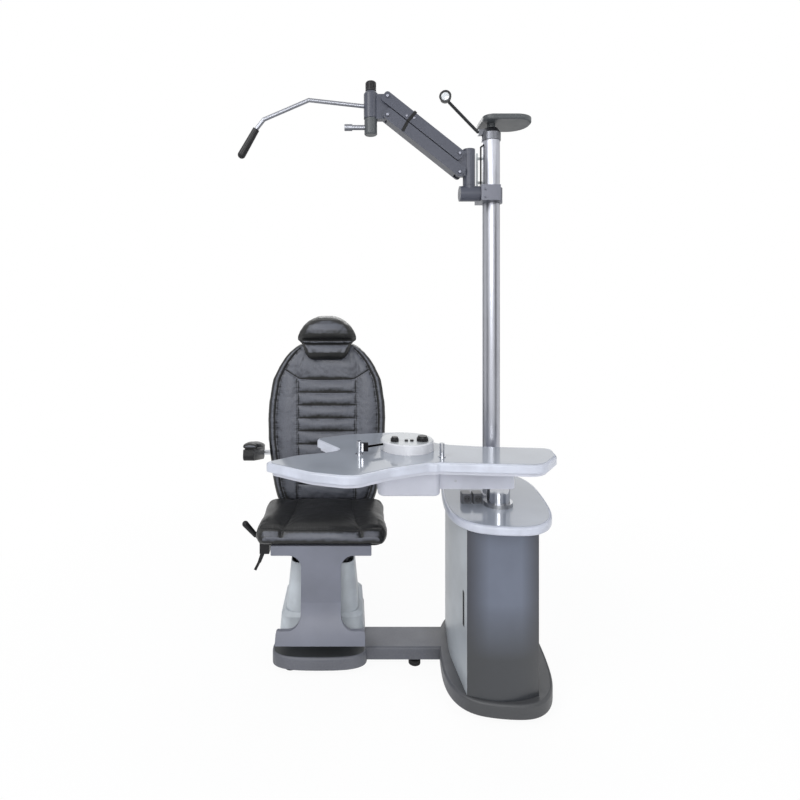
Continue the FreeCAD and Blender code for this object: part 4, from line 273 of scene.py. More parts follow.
class Finish:
    """A material under construction. Its textures lie in the part's own frame, in metres."""

    def __init__(self, name, colour, rough, **sockets):
        self.material = bpy.data.materials.new(name)
        self.material.use_nodes = True
        self.tree = self.material.node_tree
        self.shader = self.tree.nodes["Principled BSDF"]
        self.shader.inputs["Base Color"].default_value = linear(*colour)
        self.shader.inputs["Roughness"].default_value = rough
        for socket, value in sockets.items():
            self.shader.inputs[socket.replace("_", " ")].default_value = value
        self.colour = None
        self.base = linear(*colour)
        self.place = self.node("ShaderNodeTexCoord").outputs["Object"]

    def node(self, kind):
        return self.tree.nodes.new(kind)

    def feed(self, socket, value):
        if isinstance(value, bpy.types.NodeSocket):
            self.tree.links.new(value, socket)
        else:
            socket.default_value = value

    def stretched(self, scale):
        mapping = self.node("ShaderNodeMapping")
        self.feed(mapping.inputs["Vector"], self.place)
        mapping.inputs["Scale"].default_value = scale
        return mapping.outputs["Vector"]

    def clouds(self, scale, detail=3.0, stretch=None):
        texture = self.node("ShaderNodeTexNoise")
        self.feed(texture.inputs["Vector"], self.stretched(stretch) if stretch else self.place)
        texture.inputs["Scale"].default_value = scale
        texture.inputs["Detail"].default_value = detail
        return texture.outputs["Fac"]

    def cells(self, scale, edges=False):
        texture = self.node("ShaderNodeTexVoronoi")
        if edges:
            texture.feature = "DISTANCE_TO_EDGE"
        self.feed(texture.inputs["Vector"], self.place)
        texture.inputs["Scale"].default_value = scale
        return texture.outputs["Distance"]

    def span(self, value, low, high, to_low=0.0, to_high=1.0):
        ranged = self.node("ShaderNodeMapRange")
        self.feed(ranged.inputs["Value"], value)
        ranged.inputs["From Min"].default_value = low
        ranged.inputs["From Max"].default_value = high
        ranged.inputs["To Min"].default_value = to_low
        ranged.inputs["To Max"].default_value = to_high
        return ranged.outputs["Result"]

    def math(self, operation, first, second=0.0):
        node = self.node("ShaderNodeMath")
        node.operation = operation
        self.feed(node.inputs[0], first)
        self.feed(node.inputs[1], second)
        return node.outputs[0]

    def axis(self, name):
        split = self.node("ShaderNodeSeparateXYZ")
        self.feed(split.inputs[0], self.place)
        return split.outputs[name]

    def between(self, axis, ends):
        """High between two places along an axis, with a sharp change at both."""
        low, high = ends
        return self.math("MULTIPLY", self.span(self.axis(axis), low, low + SHARP_BLUR),
                         self.span(self.axis(axis), high, high - SHARP_BLUR))

    def facing(self, direction):
        """How far the part's surface faces a direction of its own frame."""
        dot = self.node("ShaderNodeVectorMath")
        dot.operation = "DOT_PRODUCT"
        self.feed(dot.inputs[0], self.node("ShaderNodeTexCoord").outputs["Normal"])
        dot.inputs[1].default_value = direction
        return dot.outputs["Value"]

    def tint(self, mask, colour, strength=1.0):
        """Lays another colour over the base where the mask is high."""
        mix = self.node("ShaderNodeMix")
        mix.data_type = "RGBA"
        self.feed(mix.inputs["Factor"], self.math("MULTIPLY", mask, strength))
        self.feed(mix.inputs[6], self.colour or self.base)
        self.feed(mix.inputs[7], linear(*colour))
        self.colour = mix.outputs[2]
        self.feed(self.shader.inputs["Base Color"], self.colour)
        return self

    def roughen(self, mask, low, high):
        self.feed(self.shader.inputs["Roughness"], self.span(mask, 0.0, 1.0, low, high))
        return self

    def edge_mask(self, radius):
        """High where the surface turns within this radius."""
        bevel = self.node("ShaderNodeBevel")
        bevel.samples = MASK_SAMPLES
        bevel.inputs["Radius"].default_value = radius
        flat = self.node("ShaderNodeNewGeometry")
        dot = self.node("ShaderNodeVectorMath")
        dot.operation = "DOT_PRODUCT"
        self.feed(dot.inputs[0], bevel.outputs["Normal"])
        self.feed(dot.inputs[1], flat.outputs["Normal"])
        return self.span(dot.outputs["Value"], *EDGE_TURN)

    def relief(self, height, strength, distance, soft_edge=0.0):
        """A bump, over edges that are rounded to this radius if one is given."""
        bump = self.node("ShaderNodeBump")
        bump.inputs["Strength"].default_value = strength
        bump.inputs["Distance"].default_value = distance
        self.feed(bump.inputs["Height"], height)
        if soft_edge:
            bevel = self.node("ShaderNodeBevel")
            bevel.samples = EDGE_SAMPLES
            bevel.inputs["Radius"].default_value = soft_edge
            self.feed(bump.inputs["Normal"], bevel.outputs["Normal"])
        self.feed(self.shader.inputs["Normal"], bump.outputs["Normal"])
        return self


def powder_paint(name, colour, rough, peel=0.12, worn=None, dust=0.0, **sockets):
    """Sprayed paint: orange peel, slight mottling, rubbed edges, and dust near the floor."""
    paint = Finish(name, colour, rough, **sockets)
    paint.tint(paint.span(paint.clouds(7.0, detail=4.0), 0.35, 0.7), scaled(colour, 0.93))
    if worn:
        patches = paint.span(paint.clouds(90.0, detail=5.0), 0.4, 0.62)
        paint.tint(paint.math("MULTIPLY", paint.edge_mask(PAINT_EDGE), patches), worn, 0.6)
    if dust:
        near_floor = paint.span(paint.axis("Z"), DUST_HEIGHT, 0.0)
        specks = paint.span(paint.clouds(160.0, detail=6.0), 0.42, 0.7)
        paint.tint(paint.math("MULTIPLY", near_floor, specks), DUST_COLOUR, dust)
    paint.roughen(paint.clouds(24.0), rough * 0.85, min(1.0, rough * 1.2))
    return paint.relief(paint.clouds(620.0, detail=2.0), peel, distance=0.0002, soft_edge=PAINT_EDGE)


def moulded(name, colour, rough, grain=0.15, scale=900.0, **sockets):
    """Moulded plastic or rubber with a spark-eroded grain."""
    if max(colour) < DARK_LEVEL:
        sockets["Specular_IOR_Level"] = DARK_SPECULAR
    plastic = Finish(name, colour, rough, **sockets)
    lighter = tuple(min(255.0, level * 1.12 + 2.0) for level in colour)
    plastic.tint(plastic.span(plastic.clouds(15.0, detail=4.0), 0.4, 0.75), lighter, 0.7)
    plastic.roughen(plastic.clouds(40.0), rough * 0.88, min(1.0, rough * 1.15))
    return plastic.relief(plastic.cells(scale), grain, distance=0.0002, soft_edge=MOULDED_EDGE)


def metal(name, colour, rough, stretch, streak=0.35, depth=0.08):
    """Bare or plated metal with drawn lines along one axis."""
    bare = Finish(name, colour, rough, Metallic=1.0)
    lines = bare.clouds(260.0, detail=4.0, stretch=stretch)
    darker = scaled(colour, 0.86)
    bare.tint(bare.span(lines, 0.35, 0.75), darker, streak)
    bare.tint(bare.span(bare.clouds(9.0, detail=4.0), 0.5, 0.8), darker, 0.4)
    bare.roughen(lines, rough * 0.7, rough * 1.4)
    return bare.relief(lines, depth, distance=0.0001, soft_edge=METAL_EDGE)


def laminate(name, colour):
    """High-gloss laminate with a faint speckle and hairline scratches."""
    sheet = Finish(name, colour, 0.12, Coat_Weight=0.6, Coat_Roughness=0.05)
    speckle = sheet.span(sheet.clouds(700.0, detail=2.0), 0.52, 0.68)
    sheet.tint(speckle, scaled(colour, 1.08), 0.5)
    sheet.tint(sheet.span(sheet.clouds(5.0), 0.4, 0.75), scaled(colour, 0.96))
    scratches = sheet.clouds(60.0, detail=5.0, stretch=(1.0, 22.0, 1.0))
    sheet.roughen(scratches, 0.08, 0.2)
    return sheet.relief(sheet.clouds(38.0, detail=2.0), 0.02, distance=0.0004)


def leather(name, colour, sheen_colour, painted_sheen_colour, sheen_facing_shares):
    """Coated upholstery leather: pebbled grain, pores, soft creases, and a painted sheen, lighter where the
    surface faces the backrest's front.
    """
    hide = Finish(name, colour, 0.38, Specular_IOR_Level=0.4, Coat_Weight=0.15, Coat_Roughness=0.22)
    # Painted sheen: the colour turns lighter where the leather faces the front, as if lit from there
    hide.tint(hide.span(hide.facing(SHEEN_FACING_SIDE), *sheen_facing_shares), painted_sheen_colour)
    hide.tint(hide.span(hide.clouds(11.0, detail=5.0), 0.42, 0.72), sheen_colour, 0.12)
    hide.tint(hide.span(hide.cells(PORE_SCALE, edges=True), 0.12, 0.0), scaled(colour, 0.6), 0.5)
    hide.roughen(hide.clouds(16.0, detail=4.0), 0.3, 0.5)
    pebbles = hide.span(hide.cells(PORE_SCALE, edges=True), 0.0, 0.18)
    creases = hide.clouds(55.0, detail=6.0)
    height = hide.math("ADD", pebbles, hide.math("MULTIPLY", creases, 1.6))
    return hide.relief(height, 0.28, distance=0.0005)


def front_paint():
    """Satin blue-grey paint, with painted shade that darkens it towards both sides and to charcoal low down."""
    paint = powder_paint("front_paint_satin", (96, 103, 119), 0.34, peel=0.06, Coat_Weight=0.3,
                         Coat_Roughness=0.2)
    # Painted shade where the bowed panel turns away at both sides
    sides = paint.math("MAXIMUM", paint.span(paint.axis("X"), *PANEL_LEFT_SHADE),
                       paint.span(paint.axis("X"), *PANEL_RIGHT_SHADE))
    paint.tint(sides, (45, 47, 56), 0.9)
    # Painted shade that darkens the panel low down
    paint.tint(paint.span(paint.axis("Z"), *PANEL_LOW_SHADE), (48, 50, 53), 0.95)
    return paint


def base_paint():
    """Cast base paint, darker at the console's end, with a painted shadow on the toe's top below the foot step."""
    paint = powder_paint("base_paint_cast", (94, 96, 104), 0.46, peel=0.3, worn=(124, 126, 130), dust=0.08)
    paint.tint(paint.span(paint.axis("X"), *BASE_CONSOLE_FADE), (60, 61, 62), 0.85)
    # A painted shadow on the toe's upward faces, under the foot step
    upward = paint.span(paint.facing((0.0, 0.0, 1.0)), 0.9, 0.99)
    toe_shadow = paint.math("MULTIPLY", paint.span(paint.axis("X"), *TOE_SHADOW_RIGHT),
                     paint.span(paint.axis("Y"), *TOE_SHADOW_BACK))
    paint.tint(paint.math("MULTIPLY", upward, toe_shadow), (34, 36, 36), 0.9)
    return paint


def cabinet_walls():
    """The cabinet's paint, dark on the narrow vent in its left wall."""
    paint = powder_paint("cabinet_wall_paint", (176, 182, 188), 0.36, peel=0.1)
    vent = paint.math("MULTIPLY", paint.between("Y", VENT_ALONG_Y), paint.between("Z", VENT_ALONG_Z))
    left = paint.span(paint.axis("X"), VENT_WALL_X + SHARP_BLUR, VENT_WALL_X)
    paint.tint(paint.math("MULTIPLY", vent, left), (44, 46, 50))
    return paint


def puck_plastic():
    """White plastic with a greyer plate on top."""
    plastic = moulded("puck_plastic_white", (202, 203, 208), 0.28, grain=0.03, Coat_Weight=0.35,
                      Coat_Roughness=0.1)
    plastic.tint(plastic.span(plastic.axis("Z"), *PUCK_PLATE_FADE), (180, 184, 187), 0.9)
    return plastic


def clamp_chrome():
    """The table posts' plating, black where the clamp block and its rod lie."""
    plate = metal("clamp_chrome_plate", **CHROME)
    plate.tint(plate.between("X", CLAMP_BLACK), (16, 16, 18))
    return plate


def lens_glass():
    """A frosted lamp glass with a faint ring pattern."""
    glass = Finish("lamp_lens_glass", (232, 236, 238), 0.22, Transmission_Weight=0.25, Coat_Weight=0.5)
    glass.tint(glass.span(glass.cells(420.0), 0.0, 0.6), (205, 210, 214), 0.5)
    return glass.relief(glass.cells(420.0), 0.3, distance=0.0004)


# One finish for each material slot of the record
FINISHES = {
    "base_paint": base_paint(),
    "foot_rubber": moulded("foot_rubber_black", (24, 24, 25), 0.75, grain=0.3, scale=500.0),
    "cover_grey": moulded("cover_grey_plastic", (182, 188, 194), 0.42, grain=0.1),
    "steel": metal("steel_ground", (168, 170, 174), 0.34, GROUND_LINES),
    "chrome": metal("chrome_plate", **CHROME),
    "column_metal": metal("column_metal_polished", (178, 180, 188), 0.36, DIE_LINES, streak=0.06,
                          depth=0.015),
    "front_paint": front_paint(),
    "top_edge": moulded("top_edge_lacquer", (182, 186, 198), 0.34, grain=0.03, Coat_Weight=0.25,
                        Coat_Roughness=0.2),
    "top_laminate": laminate("top_laminate_gloss", (155, 161, 171)),
    "housing_pale": powder_paint("housing_pale_paint", (202, 204, 215), 0.34, peel=0.08),
    "black_plastic": moulded("black_plastic_grain", (27, 27, 29), 0.42, grain=0.2),
    # The lighter colour here is the painted sheen on leather that faces the front
    "black_leather": leather("black_leather_hide", **HIDE, painted_sheen_colour=(90, 93, 103),
                             sheen_facing_shares=(0.915, 0.985)),
    "panel_grey": powder_paint("panel_grey_paint", (115, 118, 130), 0.42, peel=0.16,
                               worn=(150, 152, 160), dust=0.03),
    "arm_paint": powder_paint("arm_paint_blue_grey", (66, 69, 81), 0.36, worn=(96, 100, 112)),
    "tray_paint": powder_paint("tray_paint_dark", (70, 74, 77), 0.4, peel=0.15),
    "dark_steel": metal("dark_steel_oiled", (62, 63, 66), 0.4, GROUND_LINES),
    "cable_black": moulded("cable_black_jacket", (20, 20, 21), 0.5, grain=0.1),
    "lamp_shell": moulded("lamp_shell_black", (30, 31, 33), 0.3, grain=0.05),
    "cabinet_light": cabinet_walls(),
    "puck_plastic": puck_plastic(),
}
# Finishes of single nodes and of the pieces that are added here
EXTRAS = {
    "thread": moulded("thread_black", (24, 24, 26), 0.75, grain=0.4, scale=1800.0),
    "handle_steel": metal("handle_steel_drawn", (138, 140, 147), 0.28, DRAWN_LINES, streak=0.1,
                          depth=0.02),
    # The lighter colour here is the painted sheen on leather that faces the front
    "back_leather": leather("back_leather_hide", **HIDE, painted_sheen_colour=(92, 95, 105),
                            sheen_facing_shares=(0.885, 0.975)),
    "cap_pale": metal("screw_pale", (196, 198, 206), 0.28, NO_LINES),
    "cap_grey": metal("screw_grey", (150, 152, 163), 0.34, NO_LINES),
    "strip_pale": moulded("strip_pale_plastic", (172, 176, 178), 0.4, grain=0.05),
    "clamp_metal": metal("clamp_metal", (112, 114, 123), 0.38, NO_LINES, streak=0.05, depth=0.0),
    "clamp_chrome": clamp_chrome(),
    "cap_metal": metal("cap_metal", (112, 114, 120), 0.34, DRAWN_LINES, streak=0.2, depth=0.02),
    "slot_black": moulded("slot_black", (14, 14, 16), 0.6, grain=0.1),
    "outlet": moulded("outlet_plastic", (62, 63, 66), 0.4, grain=0.05),
    "outlet_box": moulded("outlet_box_plastic", (92, 94, 99), 0.42, grain=0.08),
    "lens": lens_glass(),
}
# The nodes that don't take their slot's finish
NODE_EXTRAS = {
    "table_posts": "clamp_chrome",
    "socket_block": "outlet_box",
    "pull_handle": "handle_steel",
    "instrument_pin": "handle_steel",
    "column_clamp": "clamp_metal",
    "column_cap": "cap_metal",
}


def dress(obj, finish):
    """Puts one finish on all of an object's material slots."""
    material = finish.material
    if not obj.data.materials:
        obj.data.materials.append(material)
    for n in range(len(obj.data.materials)):
        obj.data.materials[n] = material


# Shapes in mesh code

FRONT = Vector((0.0, -1.0, 0.0))
BACK = Vector((0.0, 1.0, 0.0))
UP = Vector((0.0, 0.0, 1.0))
BLOCK_EDGE = 0.0006
FINE_EDGE = 0.0004
# Edges that turn by more than these degrees stay sharp
NODE_SHARP = 32.0
SCREW_SHARP = 35.0
DISC_SHARP = 40.0
SCREW_SEGMENTS = 24
DISC_SEGMENTS = 32
OUTLET_SEGMENTS = 36
HOLE_SEGMENTS = 12
RAY_REACH = 2.0
# A socket head's outline, as shares of its radius and height
SCREW_OUTLINE_SHARES = ((0.0, 0.0), (1.0, 0.0), (1.0, 0.55), (0.94, 0.82), (0.78, 1.0), (0.5, 1.0),
                        (0.48, 0.35), (0.0, 0.3))
DISC_OUTLINE_SHARES = ((0.0, 0.0), (1.0, 0.0), (1.0, 0.6), (0.94, 1.0), (0.0, 1.0))


def add_object(name, mesh, body, finish):
    obj = bpy.data.objects.new(name, mesh)
    scene.collection.objects.link(obj)
    dress(obj, finish)
    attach(obj, body)
    return obj


def smooth(mesh, angle=None):
    """Smooth shading, kept sharp over edges that turn by more than an angle in degrees."""
    mesh.shade_smooth()
    if angle is not None:
        mesh.set_sharp_from_angle(angle=math.radians(angle))


def turned(profile, segments):
    """A mesh turned about Z from (radius, height) pairs, closed where a radius is zero."""
    build = bmesh.new()
    rings = []
    for radius, height in profile:
        if radius <= 0.0:
            rings.append([build.verts.new((0.0, 0.0, height))])
            continue
        ring = []
        for n in range(segments):
            turn = 2.0 * math.pi * n / segments
            ring.append(build.verts.new((radius * math.cos(turn), radius * math.sin(turn), height)))
        rings.append(ring)
    for low, high in zip(rings, rings[1:]):
        for n in range(segments):
            corners = [low[n % len(low)], low[(n + 1) % len(low)],
                       high[(n + 1) % len(high)], high[n % len(high)]]
            face = []
            for corner in corners:
                if corner not in face:
                    face.append(corner)
            if len(face) > 2:
                build.faces.new(face)
    bmesh.ops.recalc_face_normals(build, faces=build.faces)
    mesh = bpy.data.meshes.new("turned")
    build.to_mesh(mesh)
    build.free()
    return mesh


def place_mesh(mesh, at, direction):
    """Moves a mesh so that its Z lies along a direction and its origin at a point."""
    rotation = Vector(direction).to_track_quat("Z", "Y").to_matrix().to_4x4()
    mesh.transform(Matrix.Translation(Vector(at)) @ rotation)
    return mesh


def joined(name, meshes):
    """One mesh made of several."""
    build = bmesh.new()
    for mesh in meshes:
        build.from_mesh(mesh)
    result = bpy.data.meshes.new(name)
    build.to_mesh(result)
    build.free()
    for mesh in meshes:
        bpy.data.meshes.remove(mesh)
    return result


def screw_head(radius, height):
    """A domed socket head, standing on z 0."""
    profile = [(across * radius, up * height) for across, up in SCREW_OUTLINE_SHARES]
    return turned(profile, SCREW_SEGMENTS)


def disc(name, at, facing, radius, thick, body, finish):
    """A thin round piece that stands on a point of a surface."""
    profile = [(across * radius, up * thick) for across, up in DISC_OUTLINE_SHARES]
    mesh = place_mesh(turned(profile, DISC_SEGMENTS), at, facing)
    smooth(mesh, DISC_SHARP)
    return add_object(name, mesh, body, finish)


def screws(name, places, facing, size, body, finish):
    """Screw heads or caps of one size, a radius and a height, on several places."""
    mesh = joined(name, [place_mesh(screw_head(*size), at, facing) for at in places])
    smooth(mesh, SCREW_SHARP)
    return add_object(name, mesh, body, finish)


def block(low, high, edge=BLOCK_EDGE):
    """A box with small rounded edges."""
    build = bmesh.new()
    bmesh.ops.create_cube(build, size=1.0)
    low, high = Vector(low), Vector(high)
    bmesh.ops.scale(build, vec=high - low, verts=build.verts)
    bmesh.ops.translate(build, vec=(high + low) / 2, verts=build.verts)
    bmesh.ops.bevel(build, geom=build.edges[:], offset=edge, segments=2, affect="EDGES", profile=0.5)
    mesh = bpy.data.meshes.new("block")
    build.to_mesh(mesh)
    build.free()
    return mesh


def strip(ends, width, depth, face_y):
    """A flat bar between two points of an XZ face, standing out towards -Y."""
    start, end = ends
    run = Vector((end[0] - start[0], 0.0, end[1] - start[1]))
    mesh = block((0.0, -depth, -width / 2), (run.length, 0.0, width / 2), FINE_EDGE)
    angle = math.atan2(run.z, run.x)
    mesh.transform(Matrix.Translation((start[0], face_y, start[1])) @ Matrix.Rotation(-angle, 4, "Y"))
    return mesh


def tree_of(obj):
    mesh = obj.data
    return BVHTree.FromPolygons([v.co for v in mesh.vertices], [p.vertices for p in mesh.polygons])


def front_face(node):
    """The y of a node's foremost point."""
    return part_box(node)[0][1]


def surface_point(node, x, z, facing):
    """The first point of a node's surface seen against a facing along Y, at x and z."""
    start = Vector((x, 0.0, z)) + facing * RAY_REACH
    hit, _, _, _ = tree_of(nodes[node]).ray_cast(start, -facing)
    return hit


# Stuffed pieces. Their meshes are handled as arrays of points

# The sides of a cushion are held by this share where they turn away from its front
SIDE_HOLD = 0.92
SIDE_TURN = 0.35
SEWN_FACING = 0.25
WELD_DISTANCE = 0.00005
SOLID_ROUNDS = 2
CLOTH_ROUNDS = 1
LINE_POINTS = 25
RIM_POINTS = 40
SIDE_POINTS = 12

CLOTH_STEPS = 20
CLOTH_QUALITY = 4
CLOTH_MASS = 0.25
CLOTH_STIFFNESS = 12.0
CLOTH_BENDING = 0.4
PIN_LEAST = 0.02
# How a seam's share of being sewn becomes its share of being held
PIN_SLOPE = 1.6
PIN_OFFSET = 0.5

# Creases show where the surface faces out by more than an offset, and in full a little beyond it
CREASE_SLOPE = 3.0
CREASE_OFFSET = 0.4
# Soft wrinkles, each as noise scale, seed and depth
WRINKLES = ((21.0, 3.0, 0.0012), (58.0, 9.0, 0.0005))
GROOVE_DEPTH = 0.0018
GROOVE_WIDTH = 0.0021
# Puckers beside a seam, whose pitch drifts along it
PUCKER_DEPTH = 0.0003
PUCKER_PLACE = 0.006
PUCKER_WIDTH = 0.008
PUCKER_PITCH = 0.0125
DRIFT_PITCH = 0.031
DRIFT_TURN = 1.7

STITCH_PITCH = 0.0062
STITCH_OFFSET = 0.0045
STITCH_HALF = 0.0021
STITCH_RADIUS = 0.00045
# A stitch's sections, as shares of its half length, radius and radius
STITCH_SHARES = ((-1.0, 0.2, -0.4), (-0.7, 0.9, 0.2), (0.0, 1.0, 0.7), (0.7, 0.9, 0.2), (1.0, 0.2, -0.4))
STITCH_SIDES = 6
STITCH_RAY_RISE = 0.08
STITCH_RAY_LENGTH = 0.2
STITCH_LOOK_AHEAD = 0.001


def coordinates(mesh):
    values = np.zeros(len(mesh.vertices) * 3, np.float32)
    mesh.vertices.foreach_get("co", values)
    return values.reshape(-1, 3).astype(float)


def set_coordinates(mesh, values):
    mesh.vertices.foreach_set("co", np.asarray(values, np.float32).ravel())
    mesh.update()


def normals_of(mesh):
    values = np.zeros(len(mesh.vertices) * 3, np.float32)
    mesh.vertex_normals.foreach_get("vector", values)
    return values.reshape(-1, 3).astype(float)


def soften(mesh, rounds):
    """Moves each vertex towards the middle of its neighbours."""
    edges = np.zeros(len(mesh.edges) * 2, np.int32)
    mesh.edges.foreach_get("vertices", edges)
    edges = edges.reshape(-1, 2)
    place = coordinates(mesh)
    count = np.bincount(edges.ravel(), minlength=len(place))[:, None]
    for _ in range(rounds):
        total = np.zeros_like(place)
        np.add.at(total, edges[:, 0], place[edges[:, 1]])
        np.add.at(total, edges[:, 1], place[edges[:, 0]])
        place = place * 0.5 + total / np.maximum(count, 1) * 0.5
    set_coordinates(mesh, place)


def apply_modifiers(obj):
    """Replaces an object's mesh by what its modifiers make of it."""
    evaluated = obj.evaluated_get(bpy.context.evaluated_depsgraph_get())
    mesh = bpy.data.meshes.new_from_object(evaluated)
    obj.modifiers.clear()
    old = obj.data
    obj.data = mesh
    bpy.data.meshes.remove(old)


def line_distance(points, line):
    """Distance of 2-D points from an open line, and the length along it at the nearest place."""
    best = np.full(len(points), np.inf)
    along = np.zeros(len(points))
    travelled = 0.0
    for start, end in zip(line, line[1:]):
        a, b = np.array(start), np.array(end)
        run = b - a
        length = np.linalg.norm(run)
        share = np.clip((points - a) @ run / (length * length), 0.0, 1.0)
        away = np.linalg.norm(points - (a + share[:, None] * run), axis=1)
        nearer = away < best
        best = np.where(nearer, away, best)
        along = np.where(nearer, travelled + share * length, along)
        travelled += length
    return best, along


def hump(away, width):
    """1 at no distance, falling smoothly over a width."""
    return np.exp(-((away / width) ** 2))


def soft_noise(points, scale, seed):
    return np.array([noise.noise(Vector(p) * scale + Vector((seed, seed * 1.7, 0.0))) for p in points])


def remeshed(name, node, voxel):
    """A copy of a node's solid as an even mesh."""
    mesh = nodes[node].data.copy()
    mesh.materials.clear()
    obj = bpy.data.objects.new(name, mesh)
    scene.collection.objects.link(obj)
    build = bmesh.new()
    build.from_mesh(mesh)
    bmesh.ops.remove_doubles(build, verts=build.verts, dist=WELD_DISTANCE)
    build.to_mesh(mesh)
    build.free()
    remesh = obj.modifiers.new("remesh", "REMESH")
    remesh.mode = "VOXEL"
    remesh.voxel_size = voxel
    apply_modifiers(obj)
    soften(obj.data, SOLID_ROUNDS)
    return obj


def inflate(obj, place, rest, sewn, pressure, cap):
    """Blows an object up as cloth, held where it rests and where it is sewn. No point moves past the cap."""
    pins = obj.vertex_groups.new(name="sewn")
    held = np.maximum(rest, np.clip(sewn * PIN_SLOPE - PIN_OFFSET, 0.0, 1.0))
    for index in np.nonzero(held > PIN_LEAST)[0]:
        pins.add([int(index)], float(held[index]), "REPLACE")
    cloth = obj.modifiers.new("cloth", "CLOTH")
    settings = cloth.settings
    settings.quality = CLOTH_QUALITY
    settings.mass = CLOTH_MASS
    settings.tension_stiffness = CLOTH_STIFFNESS
    settings.compression_stiffness = CLOTH_STIFFNESS
    settings.bending_stiffness = CLOTH_BENDING
    settings.use_pressure = True
    settings.uniform_pressure_force = pressure
    settings.effector_weights.gravity = 0.0
    settings.vertex_group_mass = "sewn"
    cloth.collision_settings.use_collision = False
    cloth.point_cache.frame_start = 1
    cloth.point_cache.frame_end = CLOTH_STEPS
    for step in range(1, CLOTH_STEPS + 1):
        scene.frame_set(step)
    apply_modifiers(obj)
    scene.frame_set(1)
    moved = coordinates(obj.data) - place
    length = np.linalg.norm(moved, axis=1)[:, None]
    set_coordinates(obj.data, place + moved * np.minimum(1.0, cap / np.maximum(length, 1e-9)))
    soften(obj.data, CLOTH_ROUNDS)


def crease(mesh, seams, plane, facing, resting):
    """Presses fine seam lines, their puckers and soft wrinkles into a cushion."""
    place, normal = coordinates(mesh), normals_of(mesh)
    flat = plane(place)
    faces_out = np.clip(facing(normal) * CREASE_SLOPE - CREASE_OFFSET, 0.0, 1.0)
    loose = 1.0 - resting(place)
    move = np.zeros(len(place))
    for scale, seed, depth in WRINKLES:
        move += soft_noise(place, scale, seed) * depth * loose
    for number, line in enumerate(seams):
        away, along = line_distance(flat, line)
        move -= GROOVE_DEPTH * hump(away, GROOVE_WIDTH) * faces_out
        drift = DRIFT_TURN * np.sin(along / DRIFT_PITCH * 2.0 * math.pi + number)
        wobble = np.sin(along / PUCKER_PITCH * 2.0 * math.pi + drift)
        move += PUCKER_DEPTH * wobble * hump(away - PUCKER_PLACE, PUCKER_WIDTH) * faces_out
    set_coordinates(mesh, place + normal * move[:, None])


def stuffed(name, node, body, seams, plane, facing, resting, voxel, inset, cap, pressure,
            seam_depth=0.0042, seam_width=0.006):
    """A cushion blown up from its solid's shape: remeshed, sewn down along its seams, inflated as
    cloth between them, capped, and then given its fine seam lines, puckers and wrinkles."""
    obj = remeshed(name, node, voxel)
    place, normal = coordinates(obj.data), normals_of(obj.data)
    flat, outward = plane(place), facing(normal)
    sides = SIDE_HOLD * np.clip((SIDE_TURN - outward) / SIDE_TURN, 0.0, 1.0)
    rest = np.maximum(resting(place), sides)
    sewn = np.zeros(len(place))
    for line in seams:
        away, _ = line_distance(flat, line)
        sewn = np.maximum(sewn, hump(away, seam_width) * (outward > SEWN_FACING))
    place = place - normal * inset * (1.0 - rest)[:, None] - normal * (sewn * seam_depth)[:, None]
    set_coordinates(obj.data, place)
    inflate(obj, place, rest, sewn, pressure, cap)
    finer = obj.modifiers.new("finer", "SUBSURF")
    finer.levels = 1
    apply_modifiers(obj)
    crease(obj.data, seams, plane, facing, resting)
    smooth(obj.data)
    dress(obj, FINISHES["black_leather"])
    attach(obj, body)
    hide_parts(node)
    return obj


def walk(line, pitch):
    """Points every pitch along an open line, each with the line's direction."""
    found = []
    carry = 0.0
    for start, end in zip(line, line[1:]):
        a, b = Vector(start), Vector(end)
        run = b - a
        length = run.length
        at = carry
        while at < length:
            found.append((a + run * (at / length), run / length))
            at += pitch
        carry = at - length
    return found


def stitch_mesh():
    """One thread stitch, lying along X on z 0."""
    build = bmesh.new()
    rings = []
    for along, thick, lift in STITCH_SHARES:
        ring = []
        for n in range(STITCH_SIDES):
            turn = 2.0 * math.pi * n / STITCH_SIDES
            ring.append(build.verts.new((STITCH_HALF * along, STITCH_RADIUS * thick * math.cos(turn),
                                         STITCH_RADIUS * (lift + thick * math.sin(turn)))))
        rings.append(ring)
    for low, high in zip(rings, rings[1:]):
        for n in range(STITCH_SIDES):
            build.faces.new((low[n - 1], low[n], high[n], high[n - 1]))
    mesh = bpy.data.meshes.new("stitch")
    build.to_mesh(mesh)
    build.free()
    return mesh


def stitches(name, cushion, lines, to_row, outward, body):
    """Rows of thread beside sewn seams, each stitch laid on the cushion's surface."""
    tree = tree_of(cushion)
    single = stitch_mesh()
    build = bmesh.new()
    for line in lines:
        for spot, heading in walk(line, STITCH_PITCH):
            origin = to_row(spot) + outward * STITCH_RAY_RISE
            hit, normal, _, _ = tree.ray_cast(origin, -outward, STITCH_RAY_LENGTH)
            if hit is None:
                continue
            ahead = (to_row(spot + heading * STITCH_LOOK_AHEAD) - to_row(spot)).normalized()
            side = normal.cross(ahead).normalized()
            ahead = side.cross(normal)
            turn = Matrix((ahead, side, normal)).transposed().to_4x4()
            before = len(build.verts)
            build.from_mesh(single)
            build.verts.ensure_lookup_table()
            bmesh.ops.transform(build, matrix=Matrix.Translation(hit) @ turn, verts=build.verts[before:])
    mesh = bpy.data.meshes.new(name)
    build.to_mesh(mesh)
    build.free()
    smooth(mesh)
    add_object(name, mesh, body, EXTRAS["thread"])


def offset_line(line, by):
    """The same 2-D line moved sideways."""
    moved = []
    for n, point in enumerate(line):
        before = Vector(line[max(0, n - 1)])
        after = Vector(line[min(len(line) - 1, n + 1)])
        run = (after - before).normalized()
        moved.append((point[0] - run.y * by, point[1] + run.x * by))
    return moved


def mirrored(line):
    return [(-x, y) for x, y in line]


# The backrest, in its leaning frame: x, depth from the shell, and height from the hinge

